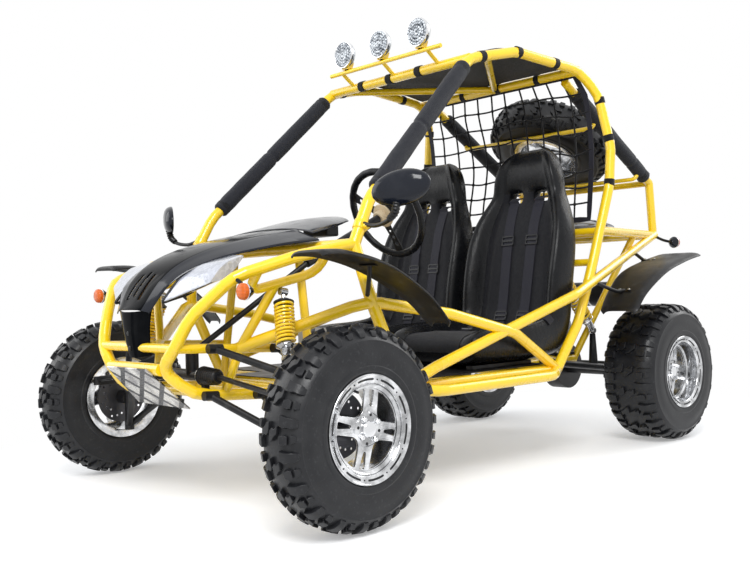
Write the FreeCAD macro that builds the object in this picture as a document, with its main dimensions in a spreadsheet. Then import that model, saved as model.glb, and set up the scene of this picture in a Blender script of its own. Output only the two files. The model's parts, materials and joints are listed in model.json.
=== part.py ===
import FreeCAD, Part
import math
import os
import re
import Sketcher

# Two-seat dune buggy with a welded tube frame.
# Millimetres. The nose points to -Y, the driver's side is +X and Z is up.
# The origin lies on the ground, midway between the axles on the centre line.

os.makedirs("parts", exist_ok=True)
doc = FreeCAD.newDocument("DuneBuggy")
sheet = doc.addObject("Spreadsheet::Sheet", "Sizes")
sheet_rows = []
nodes = []


# Wheels and tyres
WHEELBASE = 1850
FRONT_TRACK_HALF = 665
REAR_TRACK_HALF = 515
TYRE_RADIUS = 279
FRONT_TYRE_WIDTH = 156
REAR_TYRE_WIDTH = 236
SHOULDER_DROP = 30
LUG_HEIGHT = 12
LUG_HALF_LENGTH = 20
LUG_START = 3
SHOULDER_INSET = 9
BEAD_INSET = 12
BARREL_RADIUS = 122
BARREL_WALL = 5
RIM_LIP_RADIUS = 146
RIM_LIP_THICKNESS = 5
TYRE_SEAT_GAP = 0.3
RIM_DISC_THICKNESS = 9
FRONT_DISH = 18
REAR_DISH = 58
HUB_CAP_RADIUS = 30
HUB_CAP_HEIGHT = 14
HUB_BORE_RADIUS = 15.05
HUB_BORE_WALL = 10
HUB_BARREL_RADIUS = 30
WINDOW_NEAR_RADIUS = 52
WINDOW_FAR_RADIUS = 106
WINDOW_NEAR_HALF = 18
WINDOW_FAR_HALF = 44
SLOT_NEAR_RADIUS = 74
SLOT_FAR_RADIUS = 104
SLOT_NEAR_HALF = 4
SLOT_FAR_HALF = 8
BRAKE_DISC_RADIUS = 92
BRAKE_DISC_THICKNESS = 4
BRAKE_DISC_INSET = 50
RUNNING_GAP = 0.05
SPARE_SHARE = 0.57
SPARE_RISE = 41
SEAT_GAP = 0.3
OVERRUN = 40

# Steering and knuckles
KINGPIN_ACROSS = 556
UPRIGHT_RADIUS = 15
UPRIGHT_HALF_HEIGHT = 82
BALL_BOSS_RADIUS = 17
BALL_BOSS_HEIGHT = 34
BALL_BOSS_GAP = 0.3
BALL_PIN_RADIUS = 8
SPINDLE_SHOULDER_RADIUS = 24
SPINDLE_SHOULDER_GAP = 6
STEERING_ARM_REACH = 120
STEERING_ARM_HEIGHT = 62
STEERING_ARM_WIDTH = 24
STEERING_ARM_THICKNESS = 12
STEERING_EYE_RADIUS = 14
TIE_ROD_RADIUS = 8
TIE_ROD_EYE_HEIGHT = 16
TIE_ROD_CLEARANCE = 1
RACK_BAR_RADIUS = 11
RACK_HOUSING_RADIUS = 17
RACK_BAR_HALF = 214
RACK_HOUSING_HALF = 150
RACK_UP = 400
RACK_AHEAD = 120
CALIPER_LENGTH = 62
CALIPER_INNER_RADIUS = 68
CALIPER_OUTER_RADIUS = 104
CALIPER_SIDE = 13
CALIPER_GAP = 2
CALIPER_BRACKET_HALF = 15
STEERING_WHEEL_RADIUS = 152
STEERING_GRIP_RADIUS = 13
STEERING_SPOKE_WIDTH = 26
STEERING_SPOKE_THICKNESS = 6
STEERING_BOSS_RADIUS = 36
STEERING_BOSS_HEIGHT = 30
STEERING_WHEEL_ACROSS = 255
STEERING_WHEEL_ALONG = -380
STEERING_WHEEL_UP = 905
COLUMN_RADIUS = 14
COLUMN_JOINT_ALONG = -735
COLUMN_JOINT_UP = 734
PINION_ACROSS = 70
PINION_RADIUS = 20
PINION_HEIGHT = 66

# Tubes of the frame
MAIN_TUBE_RADIUS = 19
SIDE_TUBE_RADIUS = 18
BRACE_TUBE_RADIUS = 14
SMALL_TUBE_RADIUS = 9
MAIN_BEND_RADIUS = 120
SMALL_BEND_RADIUS = 60

ROOF_FRONT = (374, -62, 1462)
PILLAR_FOOT = (448, -706, 785)
PILLAR_BEND = (437, -628, 928)
RAIL_CREST = (402, 170, 1515)
RAIL_REAR = (428, 530, 1492)
HOOP_SHOULDER = (462, 612, 1400)
HOOP_HIGH = (500, 632, 1190)
HOOP_MID = (500, 612, 1030)
HOOP_LOW = (502, 480, 730)
HOOP_KNEE = (502, 368, 500)
HOOP_FOOT = (500, 230, 338)
LEG_WAIST = (498, -690, 618)
LEG_FOOT = (500, -560, 338)
SWOOP_START = (205, -1010, 470)
SWOOP_TOP = (500, -705, 612)
SWOOP_SIDE = (536, -380, 562)
SWOOP_LOW = (540, -60, 486)
CROSS_TAIL = (372, 1165, 858)
CROSS_SIDE = (546, 300, 610)
CROSS_FRONT = (530, -470, 392)
NERF_FRONT = (560, -470, 326)
NERF_REAR = (566, 120, 326)
DECK_REAR = (362, 1172, 858)
STRUT_TOP = (352, 545, 1462)
STRUT_BOTTOM = (350, 1172, 1092)
CRADLE_REAR = (250, 700, 338)
NOSE_SHOULDER = (420, -905, 748)
NOSE_CORNER = (352, -1078, 692)
NOSE_FRONT = (250, -1160, 580)
NOSE_LOW = (214, -1192, 492)
NOSE_CHIN = (150, -1198, 430)
CHIN_BEND = (196, -1120, 352)
LOWER_RAIL = (205, -860, 336)
LOWER_FLARE = (250, -720, 336)
MID_RAIL_UP = 470
SILL_ACROSS = 470
SILL_UP = 338

# Roof, lamps and soft trim
CANOPY_THICKNESS = 5
CANOPY_SAG = 10
CANOPY_RAIL_GAP = 1
PAD_GAP = 0.3
PAD_RADIUS = 30
LAMP_BAR_RADIUS = 8
LAMP_BAR_ALONG = -132
LAMP_BAR_UP = 1512
LAMP_BAR_HALF = 300
ROOF_LAMP_SPACING = 203
ROOF_LAMP_RADIUS = 53
ROOF_LAMP_DEPTH = 52
ROOF_LAMP_BACK_RADIUS = 24
ROOF_LAMP_RISE = 66
LAMP_STALK_RADIUS = 7
NET_THICKNESS = 6
NET_CORD = 9
NET_HALF = 436
NET_COLUMNS = 9
NET_ROWS = 7

# Seats
SEAT_ACROSS = 255
SEAT_HALF_WIDTH = 242
SEAT_FRONT_ALONG = -190
SEAT_FLOOR_UP = 372
CUSHION_UP = 470
CUSHION_REAR_ALONG = 300
SEAT_TOP_ALONG = 506
SEAT_TOP_UP = 1196
SEAT_THICKNESS = 74
BOLSTER_RISE = 66
BOLSTER_WIDTH = 74
SEAT_SHOULDER_HALF = 190
SEAT_SHOULDER_UP = 960
SEAT_TOP_HALF = 96
BELT_SLOT_UP = 1000
BELT_SLOT_WIDTH = 66
BELT_SLOT_HEIGHT = 30
BELT_SLOT_ACROSS = 62
BELT_WIDTH = 46
BELT_THICKNESS = 4
BELT_GAP = 0.3
SEAT_RUNNER = 30

# Body panels
PAN_THICKNESS = 3
PAN_REAR_ALONG = 210
PAN_FRONT_ALONG = -700
SKID_THICKNESS = 4
SKID_HALF_TOP = 120
SKID_HALF_BOTTOM = 150
HOOD_WALL = 4
FENDER_THICKNESS = 5

# Shock towers
TOWER_INSET = 60
TOWER_DROP = 66

# Front arms
ARM_BUSH_RADIUS = 14
UPRIGHT_CLEARANCE = 5
ARM_BUSH_LENGTH = 46
ARM_TUBE_RADIUS = 11

# Shocks
DAMPER_RADIUS = 17
DAMPER_EYE_RADIUS = 12
DAMPER_EYE_HALF = 12
SPRING_RADIUS = 31
SPRING_WIRE = 8
FRONT_SHOCK_LIFT = 30
SHOCK_HEAD_GAP = 2.6

# Rear axle, swing arm and drive
AXLE_TUBE_HALF = 330
AXLE_TUBE_RADIUS = 30
CHAIN_CASE_ACROSS = 30
CHAIN_CASE_WIDTH = 76
CHAIN_CASE_RADIUS = 98
ARM_PIVOT_HALF = 22
REAR_ARM_ACROSS = 318
REAR_PIVOT_ALONG = 450
REAR_PIVOT_UP = 338
REAR_PIVOT_RADIUS = 17
REAR_SHOCK_ALONG = 740
REAR_SHOCK_LOW = 452
SHOCK_TAB_HALF = 26
SHOCK_TAB_DROP = 12.3

# Engine
ENGINE_HALF = 150
ENGINE_FRONT = 520
ENGINE_REAR = 790
ENGINE_CASE_TOP = 540
ENGINE_FOOT_DEPTH = 40
ENGINE_FOOT_THICKNESS = 10
CYLINDER_HALF = 62
CYLINDER_ACROSS = -20
CYLINDER_HEIGHT = 170
FIN_REACH = 14
FIN_PITCH = 20
DRIVE_COVER_RADIUS = 82
DRIVE_COVER_DEPTH = 50

# Fuel tank
TANK_HALF = 235
TANK_FRONT = 720
TANK_REAR = 1085
TANK_CROWN = 60
TANK_SIDE_HEIGHT = 36
TANK_HEIGHT = 60
TANK_CAP_RADIUS = 26
TANK_CAP_HEIGHT = 14

# Exhaust
SILENCER_ALONG = 1105
SILENCER_UP = 600
SILENCER_HALF = 190
SILENCER_RADIUS = 56
SILENCER_TAIL = 80

# Rear net, side view
NET_TOP_ALONG = 548.4
NET_TOP_UP = 1486
NET_TOP_HALF = 402
NET_BEND_ALONG = 606
NET_BEND_UP = 1180
NET_LOW_ALONG = 572
NET_LOW_UP = 900

# Skid plate ends
SKID_RISE = 24
SKID_TAIL = 40

# Nose cover and instrument pod: station, half width, edge and crown
HOOD_TIP = (-1224, 96, 596, 606)
HOOD_BROW = (-1163, 132, 672, 690)
HOOD_LAMP = (-1095, 160, 722, 746)
HOOD_WAIST = (-988, 200, 762, 792)
HOOD_REAR = (-837, 262, 794, 830)
HOOD_DASH = (-718, 300, 809, 853)
HOOD_POD_FRONT = (-714, 262, 835, 856)
HOOD_POD_MIDDLE = (-560, 214, 868, 896)
HOOD_POD_REAR = (-400, 88, 898, 912)
APRON_LOW_UP = 462
APRON_LOW_ALONG = -1206.8
APRON_LOW_HALF = 118
SLIT_WIDTH = 13
SLIT_LENGTH = 74
SLIT_SPACING = 34
POD_LEG_ACROSS = 150
POD_LEG_HALF = 10
BINNACLE_HALF = 66
BINNACLE_DEPTH = 90
BINNACLE_DROP = 62

# Headlamps
HEADLAMP_INNER = 142
HEADLAMP_OUTER = 286
HEADLAMP_ALONG = -1190
HEADLAMP_UP = 622
HEADLAMP_LENGTH = 210
HEADLAMP_HEIGHT = 136
HEADLAMP_SWEEP = 70

# Signal lamps
SIGNAL_RADIUS = 25
SIGNAL_LENGTH = 46
SIGNAL_FRONT_ACROSS = 424
SIGNAL_FRONT_ALONG = -1112
SIGNAL_FRONT_UP = 650
SIGNAL_REAR_ACROSS = 466
SIGNAL_REAR_ALONG = 1186
SIGNAL_REAR_UP = 820

# Mirrors
MIRROR_ACROSS = 640
MIRROR_ALONG = -680
MIRROR_UP = 938
MIRROR_HALF_WIDTH = 95
MIRROR_HALF_HEIGHT = 60
MIRROR_DEPTH = 34
MIRROR_STEM_DROP = 66

# Fenders: station and height
FENDER_FRONT_LIP = (-1000, 758)
FENDER_FRONT_CROWN = (-900, 756)
FENDER_FRONT_BACK = (-750, 720)
FENDER_FRONT_TAIL = (-600, 635)
FENDER_FRONT_END = (-510, 548)
FENDER_REAR_END = (520, 548)
FENDER_REAR_TAIL = (600, 620)
FENDER_REAR_FRONT = (750, 698)
FENDER_REAR_CROWN = (900, 742)
FENDER_REAR_LIP = (1040, 770)
FENDER_INNER = 450
FENDER_OUTER = 662
FRONT_FENDER_INNER = 500
FRONT_FENDER_TAIL_INNER = 562

# Pedals
PEDAL_PAD = 56
PEDAL_THICKNESS = 8
PEDAL_HEIGHT = 110
PEDAL_ALONG = -660
BRAKE_PEDAL_ACROSS = 100
THROTTLE_PEDAL_ACROSS = 190

place_ends = ((), ("",), ("_along", "_up"), ("_across", "_along", "_up"), ("_along", "_half", "_edge", "_crown"))


def write_sizes(sizes):
    """Write each named size into the sheet, and each number of a place under its own name."""
    for name, value in sizes.items():
        values = value if isinstance(value, tuple) else (value,)
        for ending, part in zip(place_ends[len(values)], values):
            sheet_rows.append(name.lower() + ending)
            row = len(sheet_rows)
            sheet.set("A%d" % row, sheet_rows[-1])
            sheet.set("B%d" % row, str(part))
            sheet.setAlias("B%d" % row, sheet_rows[-1])


write_sizes({
    name: value for name, value in list(globals().items())
    if name.isupper() and isinstance(value, (int, float, tuple))
})
sheet.recompute()
doc.recompute()

UP = FreeCAD.Vector(0, 0, 1)
LEFTWARD = FreeCAD.Vector(1, 0, 0)
FORWARD = FreeCAD.Vector(0, -1, 0)
RIGHT_SIDE, LEFT_SIDE = -1, 1


def get(name):
    """Read one size."""
    return float(sheet.get(name))


def bound(text):
    """Turn a formula in size names into one that the sheet resolves."""
    return re.sub(r"[a-z][a-z_]+", lambda word: "Sizes." + word.group(0), text)


def number(text):
    """Work out a formula in size names."""
    return float(sheet.evalExpression(bound(text)))


def at(name, side=1):
    """The frame point of that name, on the left (1) or right (-1) side."""
    across, along, up = (get(name + end) for end in ("_across", "_along", "_up"))
    return FreeCAD.Vector(side * across, along, up)


def vector(across, along, up):
    """A place whose three coordinates are formulas in size names."""
    return FreeCAD.Vector(number(across), number(along), number(up))


def between(start, end, share):
    """The place a share of the way from start to end."""
    return start + (end - start) * share


# General helpers

def node(name, item):
    """Register a document object as a sub-part of that name."""
    item.Label = name
    nodes.append(item)
    return item


def shaped(name, shape):
    """A sub-part whose shape is worked out here."""
    feature = doc.addObject("Part::Feature", name)
    feature.Shape = shape
    return node(name, feature)


def fused(shapes):
    """One shape from overlapping ones."""
    return shapes[0].multiFuse(shapes[1:]) if len(shapes) > 1 else shapes[0]


def mirrored(shape):
    """The same shape on the other side of the centre line."""
    return shape.mirror(FreeCAD.Vector(), LEFTWARD)


def both_sides(shape):
    """A left-hand shape and its mirror image as separate solids."""
    return Part.makeCompound([shape, mirrored(shape)])


def mirror_node(name, source):
    """A right-hand sub-part, mirrored from the left-hand one."""
    mirror = doc.addObject("Part::Mirroring", name)
    mirror.Source = source
    mirror.Normal = LEFTWARD
    return node(name, mirror)


def rod(start, end, radius):
    """A round bar between two points."""
    return Part.makeCylinder(radius, (end - start).Length, start, end - start)


def block(low, high):
    """A box between two opposite corners."""
    spans = high - low
    return Part.makeBox(spans.x, spans.y, spans.z, low)


def bend_places(points, bend_radius):
    """The points of a path with each corner rounded by short chords."""
    places = [points[0]]
    for before, corner, after in zip(points, points[1:], points[2:]):
        arriving = (corner - before).normalize()
        leaving = (after - corner).normalize()
        turn = arriving.getAngle(leaving)
        shorter = min((corner - before).Length, (after - corner).Length)
        reach = min(bend_radius * math.tan(turn / 2), RUN_SHARE * shorter)
        radius = reach / math.tan(turn / 2)
        centre = corner + (leaving - arriving).normalize() * (radius / math.cos(turn / 2))
        spoke = corner - arriving * reach - centre
        axis = arriving.cross(leaving)
        chords = math.ceil(math.degrees(turn) / CHORD_TURN)
        for step in range(chords + 1):
            swing = FreeCAD.Rotation(axis, math.degrees(turn) * step / chords)
            places.append(centre + swing.multVec(spoke))
    places.append(points[-1])
    return places


RUN_SHARE = 0.45
CHORD_TURN = 24


def tube(points, radius, bend_radius=None):
    """A bent round tube along the points, its bends in short mitred runs."""
    places = bend_places(points, bend_radius or get("main_bend_radius"))
    path = Part.makePolygon(places)
    section = Part.Wire([Part.makeCircle(radius, places[0], places[1] - places[0])])
    return path.makePipeShell([section], True, False, MITRED)


MITRED = 1


def side_plate(places, thickness, inner, outer):
    """A plate from inner to outer half width whose side view follows along and up pairs."""
    upper = [FreeCAD.Vector(inner, along, up) for along, up in places]
    lower = [place - UP * thickness for place in reversed(upper)]
    return slab(upper + lower, LEFTWARD * (outer - inner))


def slab(outline, direction):
    """A closed outline of points pushed along a direction."""
    wire = Part.makePolygon(outline + [outline[0]])
    return Part.Face(wire).extrude(direction)


# Sketched bodies

def sketch_in(body, role, corners, name="Outline", turn=0):
    """A closed outline on one of the body's own planes, bound to the sheet."""
    sketch = body.newObject("Sketcher::SketchObject", name)
    plane = [item for item in body.Origin.OriginFeatures if item.Role == role][0]
    sketch.AttachmentSupport = [(plane, "")]
    sketch.MapMode = "FlatFace"
    sketch.AttachmentOffset = FreeCAD.Placement(FreeCAD.Vector(), FreeCAD.Rotation(UP, turn))
    places = [FreeCAD.Vector(number(wide), number(high), 0) for wide, high in corners]
    count = len(places)
    for index in range(count):
        following = places[(index + 1) % count]
        sketch.addGeometry(Part.LineSegment(places[index], following))
    for index in range(count):
        sketch.addConstraint(Sketcher.Constraint("Coincident", index, 2, (index + 1) % count, 1))
    for index, (wide, high) in enumerate(corners):
        for kind, value, formula in (
            ("DistanceX", places[index].x, wide),
            ("DistanceY", places[index].y, high),
        ):
            constraint = Sketcher.Constraint(kind, -1, 1, index, 1, value)
            position = sketch.addConstraint(constraint)
            sketch.setExpression("Constraints[%d]" % position, bound(formula))
    return sketch


def revolved(body, corners):
    """Turn an outline of radius and height pairs round the body's own Z axis."""
    sketch = sketch_in(body, "XZ_Plane", corners)
    turning = body.newObject("PartDesign::Revolution", "Turned")
    turning.Profile = sketch
    turning.ReferenceAxis = (sketch, ["V_Axis"])
    turning.Angle = 360
    doc.recompute()
    return turning


def pocket_ring(body, corners, copies, name, turn=0):
    """Cut one opening through a disc and repeat it round the axis."""
    sketch = sketch_in(body, "XY_Plane", corners, name + "Outline", turn)
    pocket = body.newObject("PartDesign::Pocket", name)
    pocket.Profile = sketch
    pocket.Type = "ThroughAll"
    pocket.Reversed = True
    doc.recompute()
    ring = body.newObject("PartDesign::PolarPattern", name + "Ring")
    ring.Originals = [pocket]
    ring.Axis = (sketch, ["N_Axis"])
    ring.Angle = 360
    ring.Occurrences = copies
    body.Tip = ring
    doc.recompute()
    return ring


def axle_placement(across, along, up):
    """A body's Z axis laid along +X at a place."""
    turn = FreeCAD.Rotation(FreeCAD.Vector(0, 1, 0), 90)
    return FreeCAD.Placement(vector(across, along, up), turn)


# Wheels: tyre and rim share one axis

TREAD_PITCHES = 16
HALF_PITCH_TURN = 180 / TREAD_PITCHES
LUG_STAGGER_SHARE = 0.5

def flat_ring(reach, rise):
    """A closed wire with one flat to each tread pitch, each flat that far from the axis."""
    corner_reach = reach / math.cos(math.radians(HALF_PITCH_TURN))
    corners = []
    for pitch in range(TREAD_PITCHES + 1):
        turn = math.radians(HALF_PITCH_TURN * (2 * pitch + LUG_STAGGER_SHARE - 1))
        corners.append(FreeCAD.Vector(corner_reach * math.cos(turn), corner_reach * math.sin(turn), rise))
    return Part.makePolygon(corners)


def tread_block(half, side):
    """One rubber block, from beside the middle of the tread out over the shoulder."""
    tread_radius = number("tyre_radius - lug_height")
    shoulder = half - get("shoulder_drop")
    profile = [
        (number("tyre_radius - 2*lug_height"), get("lug_start")),
        (get("tyre_radius"), get("lug_start")),
        (get("tyre_radius"), shoulder),
        (tread_radius - number("shoulder_drop/2"), half - number("shoulder_drop/2 - lug_height/2")),
        (tread_radius - get("shoulder_drop"), shoulder),
    ]
    half_length = get("lug_half_length")
    places = [FreeCAD.Vector(reach, half_length, side * rise) for reach, rise in profile]
    return slab(places, FORWARD * 2 * half_length)


def tyre(name, width, placement):
    """A knobbly tyre: a flat on its carcass for each pitch, with a block on each half of it."""
    half = number(width) / 2
    tread_radius = number("tyre_radius - lug_height")
    side_radius = tread_radius - get("shoulder_drop")
    shoulder = half - get("shoulder_drop")
    rings = ((side_radius, -half), (tread_radius, -shoulder), (tread_radius, shoulder), (side_radius, half))
    pieces = [Part.makeLoft([flat_ring(reach, rise) for reach, rise in rings], True, True)]
    for side in (LEFT_SIDE, RIGHT_SIDE):
        block_shape = tread_block(half, side)
        for pitch in range(TREAD_PITCHES):
            turned = block_shape.copy()
            stagger = HALF_PITCH_TURN if side == RIGHT_SIDE else 0
            turned.rotate(FreeCAD.Vector(), UP, 2 * HALF_PITCH_TURN * pitch + stagger)
            pieces.append(turned)
    lip = number("rim_lip_radius + tyre_seat_gap + shoulder_inset")
    seat = number("barrel_radius + tyre_seat_gap")
    bead = half - number("bead_inset + shoulder_inset")
    bore_rings = ((lip, -half), (seat, -bead), (seat, bead), (lip, half))
    bore = Part.makeLoft([flat_ring(reach, rise) for reach, rise in bore_rings], True, True)
    shape = fused(pieces).cut(bore).removeSplitter()
    shape.Placement = placement
    return shaped(name, shape)


def rim(name, width, dish, placement, brake):
    """A dished alloy wheel: barrel, lips, four windows and four slotted spokes."""
    body = doc.addObject("PartDesign::Body", name)
    out = width + "/2 - bead_inset/2 + rim_lip_thickness"
    inner = "-(" + width + "/2 - bead_inset/2 + rim_lip_thickness)"
    face = out + " - " + dish
    barrel_inside = "barrel_radius - barrel_wall"
    back = face + " - rim_disc_thickness"
    flange = "-brake_disc_inset" if brake else back + " - hub_bore_wall"
    outline = [
        ("0", face + " + hub_cap_height"),
        ("hub_cap_radius", face + " + hub_cap_height"),
        ("hub_cap_radius", face),
        (barrel_inside, face),
        (barrel_inside, out + " - shoulder_inset"),
        ("rim_lip_radius", out),
        ("barrel_radius", out + " - shoulder_inset - rim_lip_thickness"),
        ("barrel_radius", inner + " + rim_lip_thickness"),
        ("rim_lip_radius", inner),
        (barrel_inside, inner),
        (barrel_inside, back),
        ("hub_barrel_radius", back),
        ("hub_barrel_radius", flange),
    ]
    if brake:
        outline += [
            ("brake_disc_radius", flange),
            ("brake_disc_radius", flange + " - brake_disc_thickness"),
            ("hub_bore_radius", flange + " - brake_disc_thickness"),
        ]
    else:
        outline.append(("hub_bore_radius", flange))
    outline += [
        ("hub_bore_radius", back + " - running_gap"),
        ("0", back + " - running_gap"),
    ]
    revolved(body, outline)
    window = [
        ("window_near_radius", "-window_near_half"),
        ("window_far_radius", "-window_far_half"),
        ("window_far_radius", "window_far_half"),
        ("window_near_radius", "window_near_half"),
    ]
    slot = [
        ("slot_near_radius", "-slot_near_half"),
        ("slot_far_radius", "-slot_far_half"),
        ("slot_far_radius", "slot_far_half"),
        ("slot_near_radius", "slot_near_half"),
    ]
    pocket_ring(body, window, SPOKES, "Window")
    pocket_ring(body, slot, SPOKES, "Slot", HALF_SPOKE_TURN)
    body.Placement = placement
    return node(name, body)


SPOKES = 4
HALF_SPOKE_TURN = 180 / SPOKES

FRONT_HUB = axle_placement("front_track_half", "-wheelbase/2", "tyre_radius")
REAR_HUB = axle_placement("rear_track_half", "wheelbase/2", "tyre_radius")
wheel_parts = [
    tyre("front_tyre_left", "front_tyre_width", FRONT_HUB),
    rim("front_rim_left", "front_tyre_width", "front_dish", FRONT_HUB, True),
    tyre("rear_tyre_left", "rear_tyre_width", REAR_HUB),
    rim("rear_rim_left", "rear_tyre_width", "rear_dish", REAR_HUB, False),
]
for wheel_part in wheel_parts:
    mirror_node(wheel_part.Label.replace("left", "right"), wheel_part)

doc.recompute()

# The spare lies on the rear rack, its face turned up and back
strut_run = at("strut_bottom") - at("strut_top")
rack_normal = FreeCAD.Vector(0, -strut_run.z, strut_run.y).normalize()
spare_middle = between(at("strut_top"), at("strut_bottom"), get("spare_share"))
spare_centre = FreeCAD.Vector(0, spare_middle.y, spare_middle.z) + rack_normal * get("spare_rise")
SPARE_HUB = FreeCAD.Placement(spare_centre, FreeCAD.Rotation(UP, rack_normal))
tyre("spare_tyre", "front_tyre_width", SPARE_HUB)
rim("spare_rim", "front_tyre_width", "front_dish", SPARE_HUB, False)
doc.recompute()


# Space frame. Each tube ends inside the tube that carries it, and later
# frames are coped to the ones that they meet.

def coped(shape, carriers):
    """The shape with the ends trimmed to the faces of what it meets."""
    return shape.cut(carriers)


def solid_of(name):
    """The finished shape of a sub-part made earlier."""
    return [item for item in nodes if item.Label == name][0].Shape


def side_frame(side):
    """Pillar, roof rail and hoop leg in one tube, with the side's bars."""
    main, bar = get("main_tube_radius"), get("side_tube_radius")
    arch = ["pillar_foot", "pillar_bend", "roof_front", "rail_crest", "rail_rear", "hoop_shoulder"]
    arch += ["hoop_high", "hoop_mid", "hoop_low", "hoop_knee", "hoop_foot"]
    leg = ["pillar_foot", "leg_waist", "leg_foot"]
    swoop = ["swoop_start", "swoop_top", "swoop_side", "swoop_low", "hoop_foot"]
    cross = ["cross_tail", "cross_side", "cross_front", "leg_foot"]
    nerf = ["leg_foot", "nerf_front", "nerf_rear", "hoop_foot"]
    sill = ["leg_foot", "hoop_foot"]
    runs = [(arch, main), (leg, main), (swoop, bar), (cross, bar), (nerf, bar), (sill, bar)]
    tubes = [tube([at(name, side) for name in names], radius) for names, radius in runs]
    return fused(tubes)


left_side = shaped("side_frame_left", side_frame(LEFT_SIDE))
mirror_node("side_frame_right", left_side)
doc.recompute()
SIDES = [solid_of("side_frame_left"), solid_of("side_frame_right")]


def across_bar(name, radius, share_to=None, share=0):
    """A bar between the two sides at a frame point, or a share of the way to another."""
    start, end = [
        between(at(name, side), at(share_to, side), share) if share_to else at(name, side)
        for side in (LEFT_SIDE, RIGHT_SIDE)
    ]
    return rod(start, end, radius)


def roof_bars():
    """Cross bars of the roof, its inner braces and the bar that carries the lamps."""
    bar, brace = get("side_tube_radius"), get("brace_tube_radius")
    shapes = [across_bar("roof_front", bar), across_bar("rail_rear", bar)]
    front, rear = at("roof_front"), at("rail_rear")
    apex = FreeCAD.Vector(0, rear.y, rear.z)
    for side in (LEFT_SIDE, RIGHT_SIDE):
        rail = between(at("roof_front", side), at("rail_crest", side), ROOF_BRACE_SHARE)
        shapes.append(rod(rail, apex, brace))
    high = vector("lamp_bar_half", "lamp_bar_along", "lamp_bar_up")
    low = vector("-lamp_bar_half", "lamp_bar_along", "lamp_bar_up")
    shapes.append(rod(high, low, get("lamp_bar_radius")))
    for share in LAMP_TAB_SHARES:
        foot = FreeCAD.Vector(front.x * share, front.y, front.z)
        head = FreeCAD.Vector(front.x * share, high.y, high.z)
        shapes.append(rod(foot, head, get("lamp_bar_radius")))
    return coped(fused(shapes), SIDES)


ROOF_BRACE_SHARE = 0.35
LAMP_TAB_SHARES = (-0.62, 0, 0.62)
shaped("roof_bars", roof_bars())


def floor_frame():
    """Cross tubes of the floor, the foot-well rails and the cradle for the engine."""
    bar, brace = get("side_tube_radius"), get("brace_tube_radius")
    across = [across_bar("leg_foot", bar), across_bar("hoop_foot", bar)]
    across.append(across_bar("leg_foot", brace, "hoop_foot", SEAT_BAR_SHARE))
    across.append(across_bar("leg_foot", brace, "hoop_foot", REAR_SEAT_BAR_SHARE))
    shapes = [coped(shape, SIDES) for shape in across]
    for side in (LEFT_SIDE, RIGHT_SIDE):
        rear = at("cradle_rear", side)
        front = FreeCAD.Vector(rear.x, at("hoop_foot").y, rear.z)
        shapes.append(rod(front, rear, bar))
        flare = FreeCAD.Vector(at("lower_flare", side).x, at("leg_foot").y, rear.z)
        shapes.append(rod(flare, at("lower_flare", side), bar))
    shapes.append(across_bar("cradle_rear", bar))
    return fused(shapes)


SEAT_BAR_SHARE = 0.42
REAR_SEAT_BAR_SHARE = 0.8
shaped("floor_frame", floor_frame())


def nose_frame():
    """Upper rails down to the chin, lower rails, mid rails, bulkhead and shock towers."""
    bar, brace = get("side_tube_radius"), get("brace_tube_radius")
    shapes = []
    for side in (LEFT_SIDE, RIGHT_SIDE):
        upper = ["pillar_foot", "nose_shoulder", "nose_corner", "nose_front", "nose_low", "nose_chin"]
        upper += ["chin_bend", "lower_rail", "lower_flare"]
        shapes.append(tube([at(name, side) for name in upper], bar))
        low, flare = at("nose_low", side), at("lower_flare", side)
        mid_rear = FreeCAD.Vector(flare.x, flare.y, get("mid_rail_up"))
        shapes.append(rod(low, mid_rear, brace))
        pillar = at("pillar_foot", side)
        dash_corner = FreeCAD.Vector(flare.x * POST_LEAN_SHARE, pillar.y, pillar.z)
        shapes.append(rod(flare, dash_corner, brace))
        tower_start = between(at("nose_shoulder", side), at("nose_corner", side), TOWER_FRONT_SHARE)
        tower_end = between(at("pillar_foot", side), at("nose_shoulder", side), TOWER_REAR_SHARE)
        drop = FreeCAD.Vector(side * -get("tower_inset"), 0, -get("tower_drop"))
        loop = [tower_start, tower_start + drop, tower_end + drop, tower_end]
        shapes.append(tube(loop, brace, get("small_bend_radius")))
        post_head = between(tower_start + drop, tower_end + drop, TOWER_POST_SHARE)
        post_foot = between(low, mid_rear, TOWER_POST_FOOT_SHARE)
        shapes.append(rod(post_head, post_foot, brace))
        lower_foot = between(at("chin_bend", side), at("lower_rail", side), TOWER_POST_SHARE)
        shapes.append(rod(post_foot, lower_foot, brace))
    shapes.append(across_bar("pillar_foot", bar))
    shapes.append(across_bar("nose_chin", bar))
    shapes.append(across_bar("lower_flare", brace))
    shapes.append(across_bar("lower_rail", brace))
    shapes.append(across_bar("nose_low", brace))
    shapes.append(across_bar("chin_bend", brace, "lower_rail", RACK_BAR_SHARE))
    return coped(fused(shapes), SIDES + [solid_of("floor_frame")])


RACK_BAR_SHARE = 0.288
TOWER_FRONT_SHARE = 0.6
TOWER_REAR_SHARE = 0.45
TOWER_POST_SHARE = 0.4
POST_LEAN_SHARE = 0.7
TOWER_POST_FOOT_SHARE = 0.45
doc.recompute()
shaped("nose_frame", nose_frame())


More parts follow.
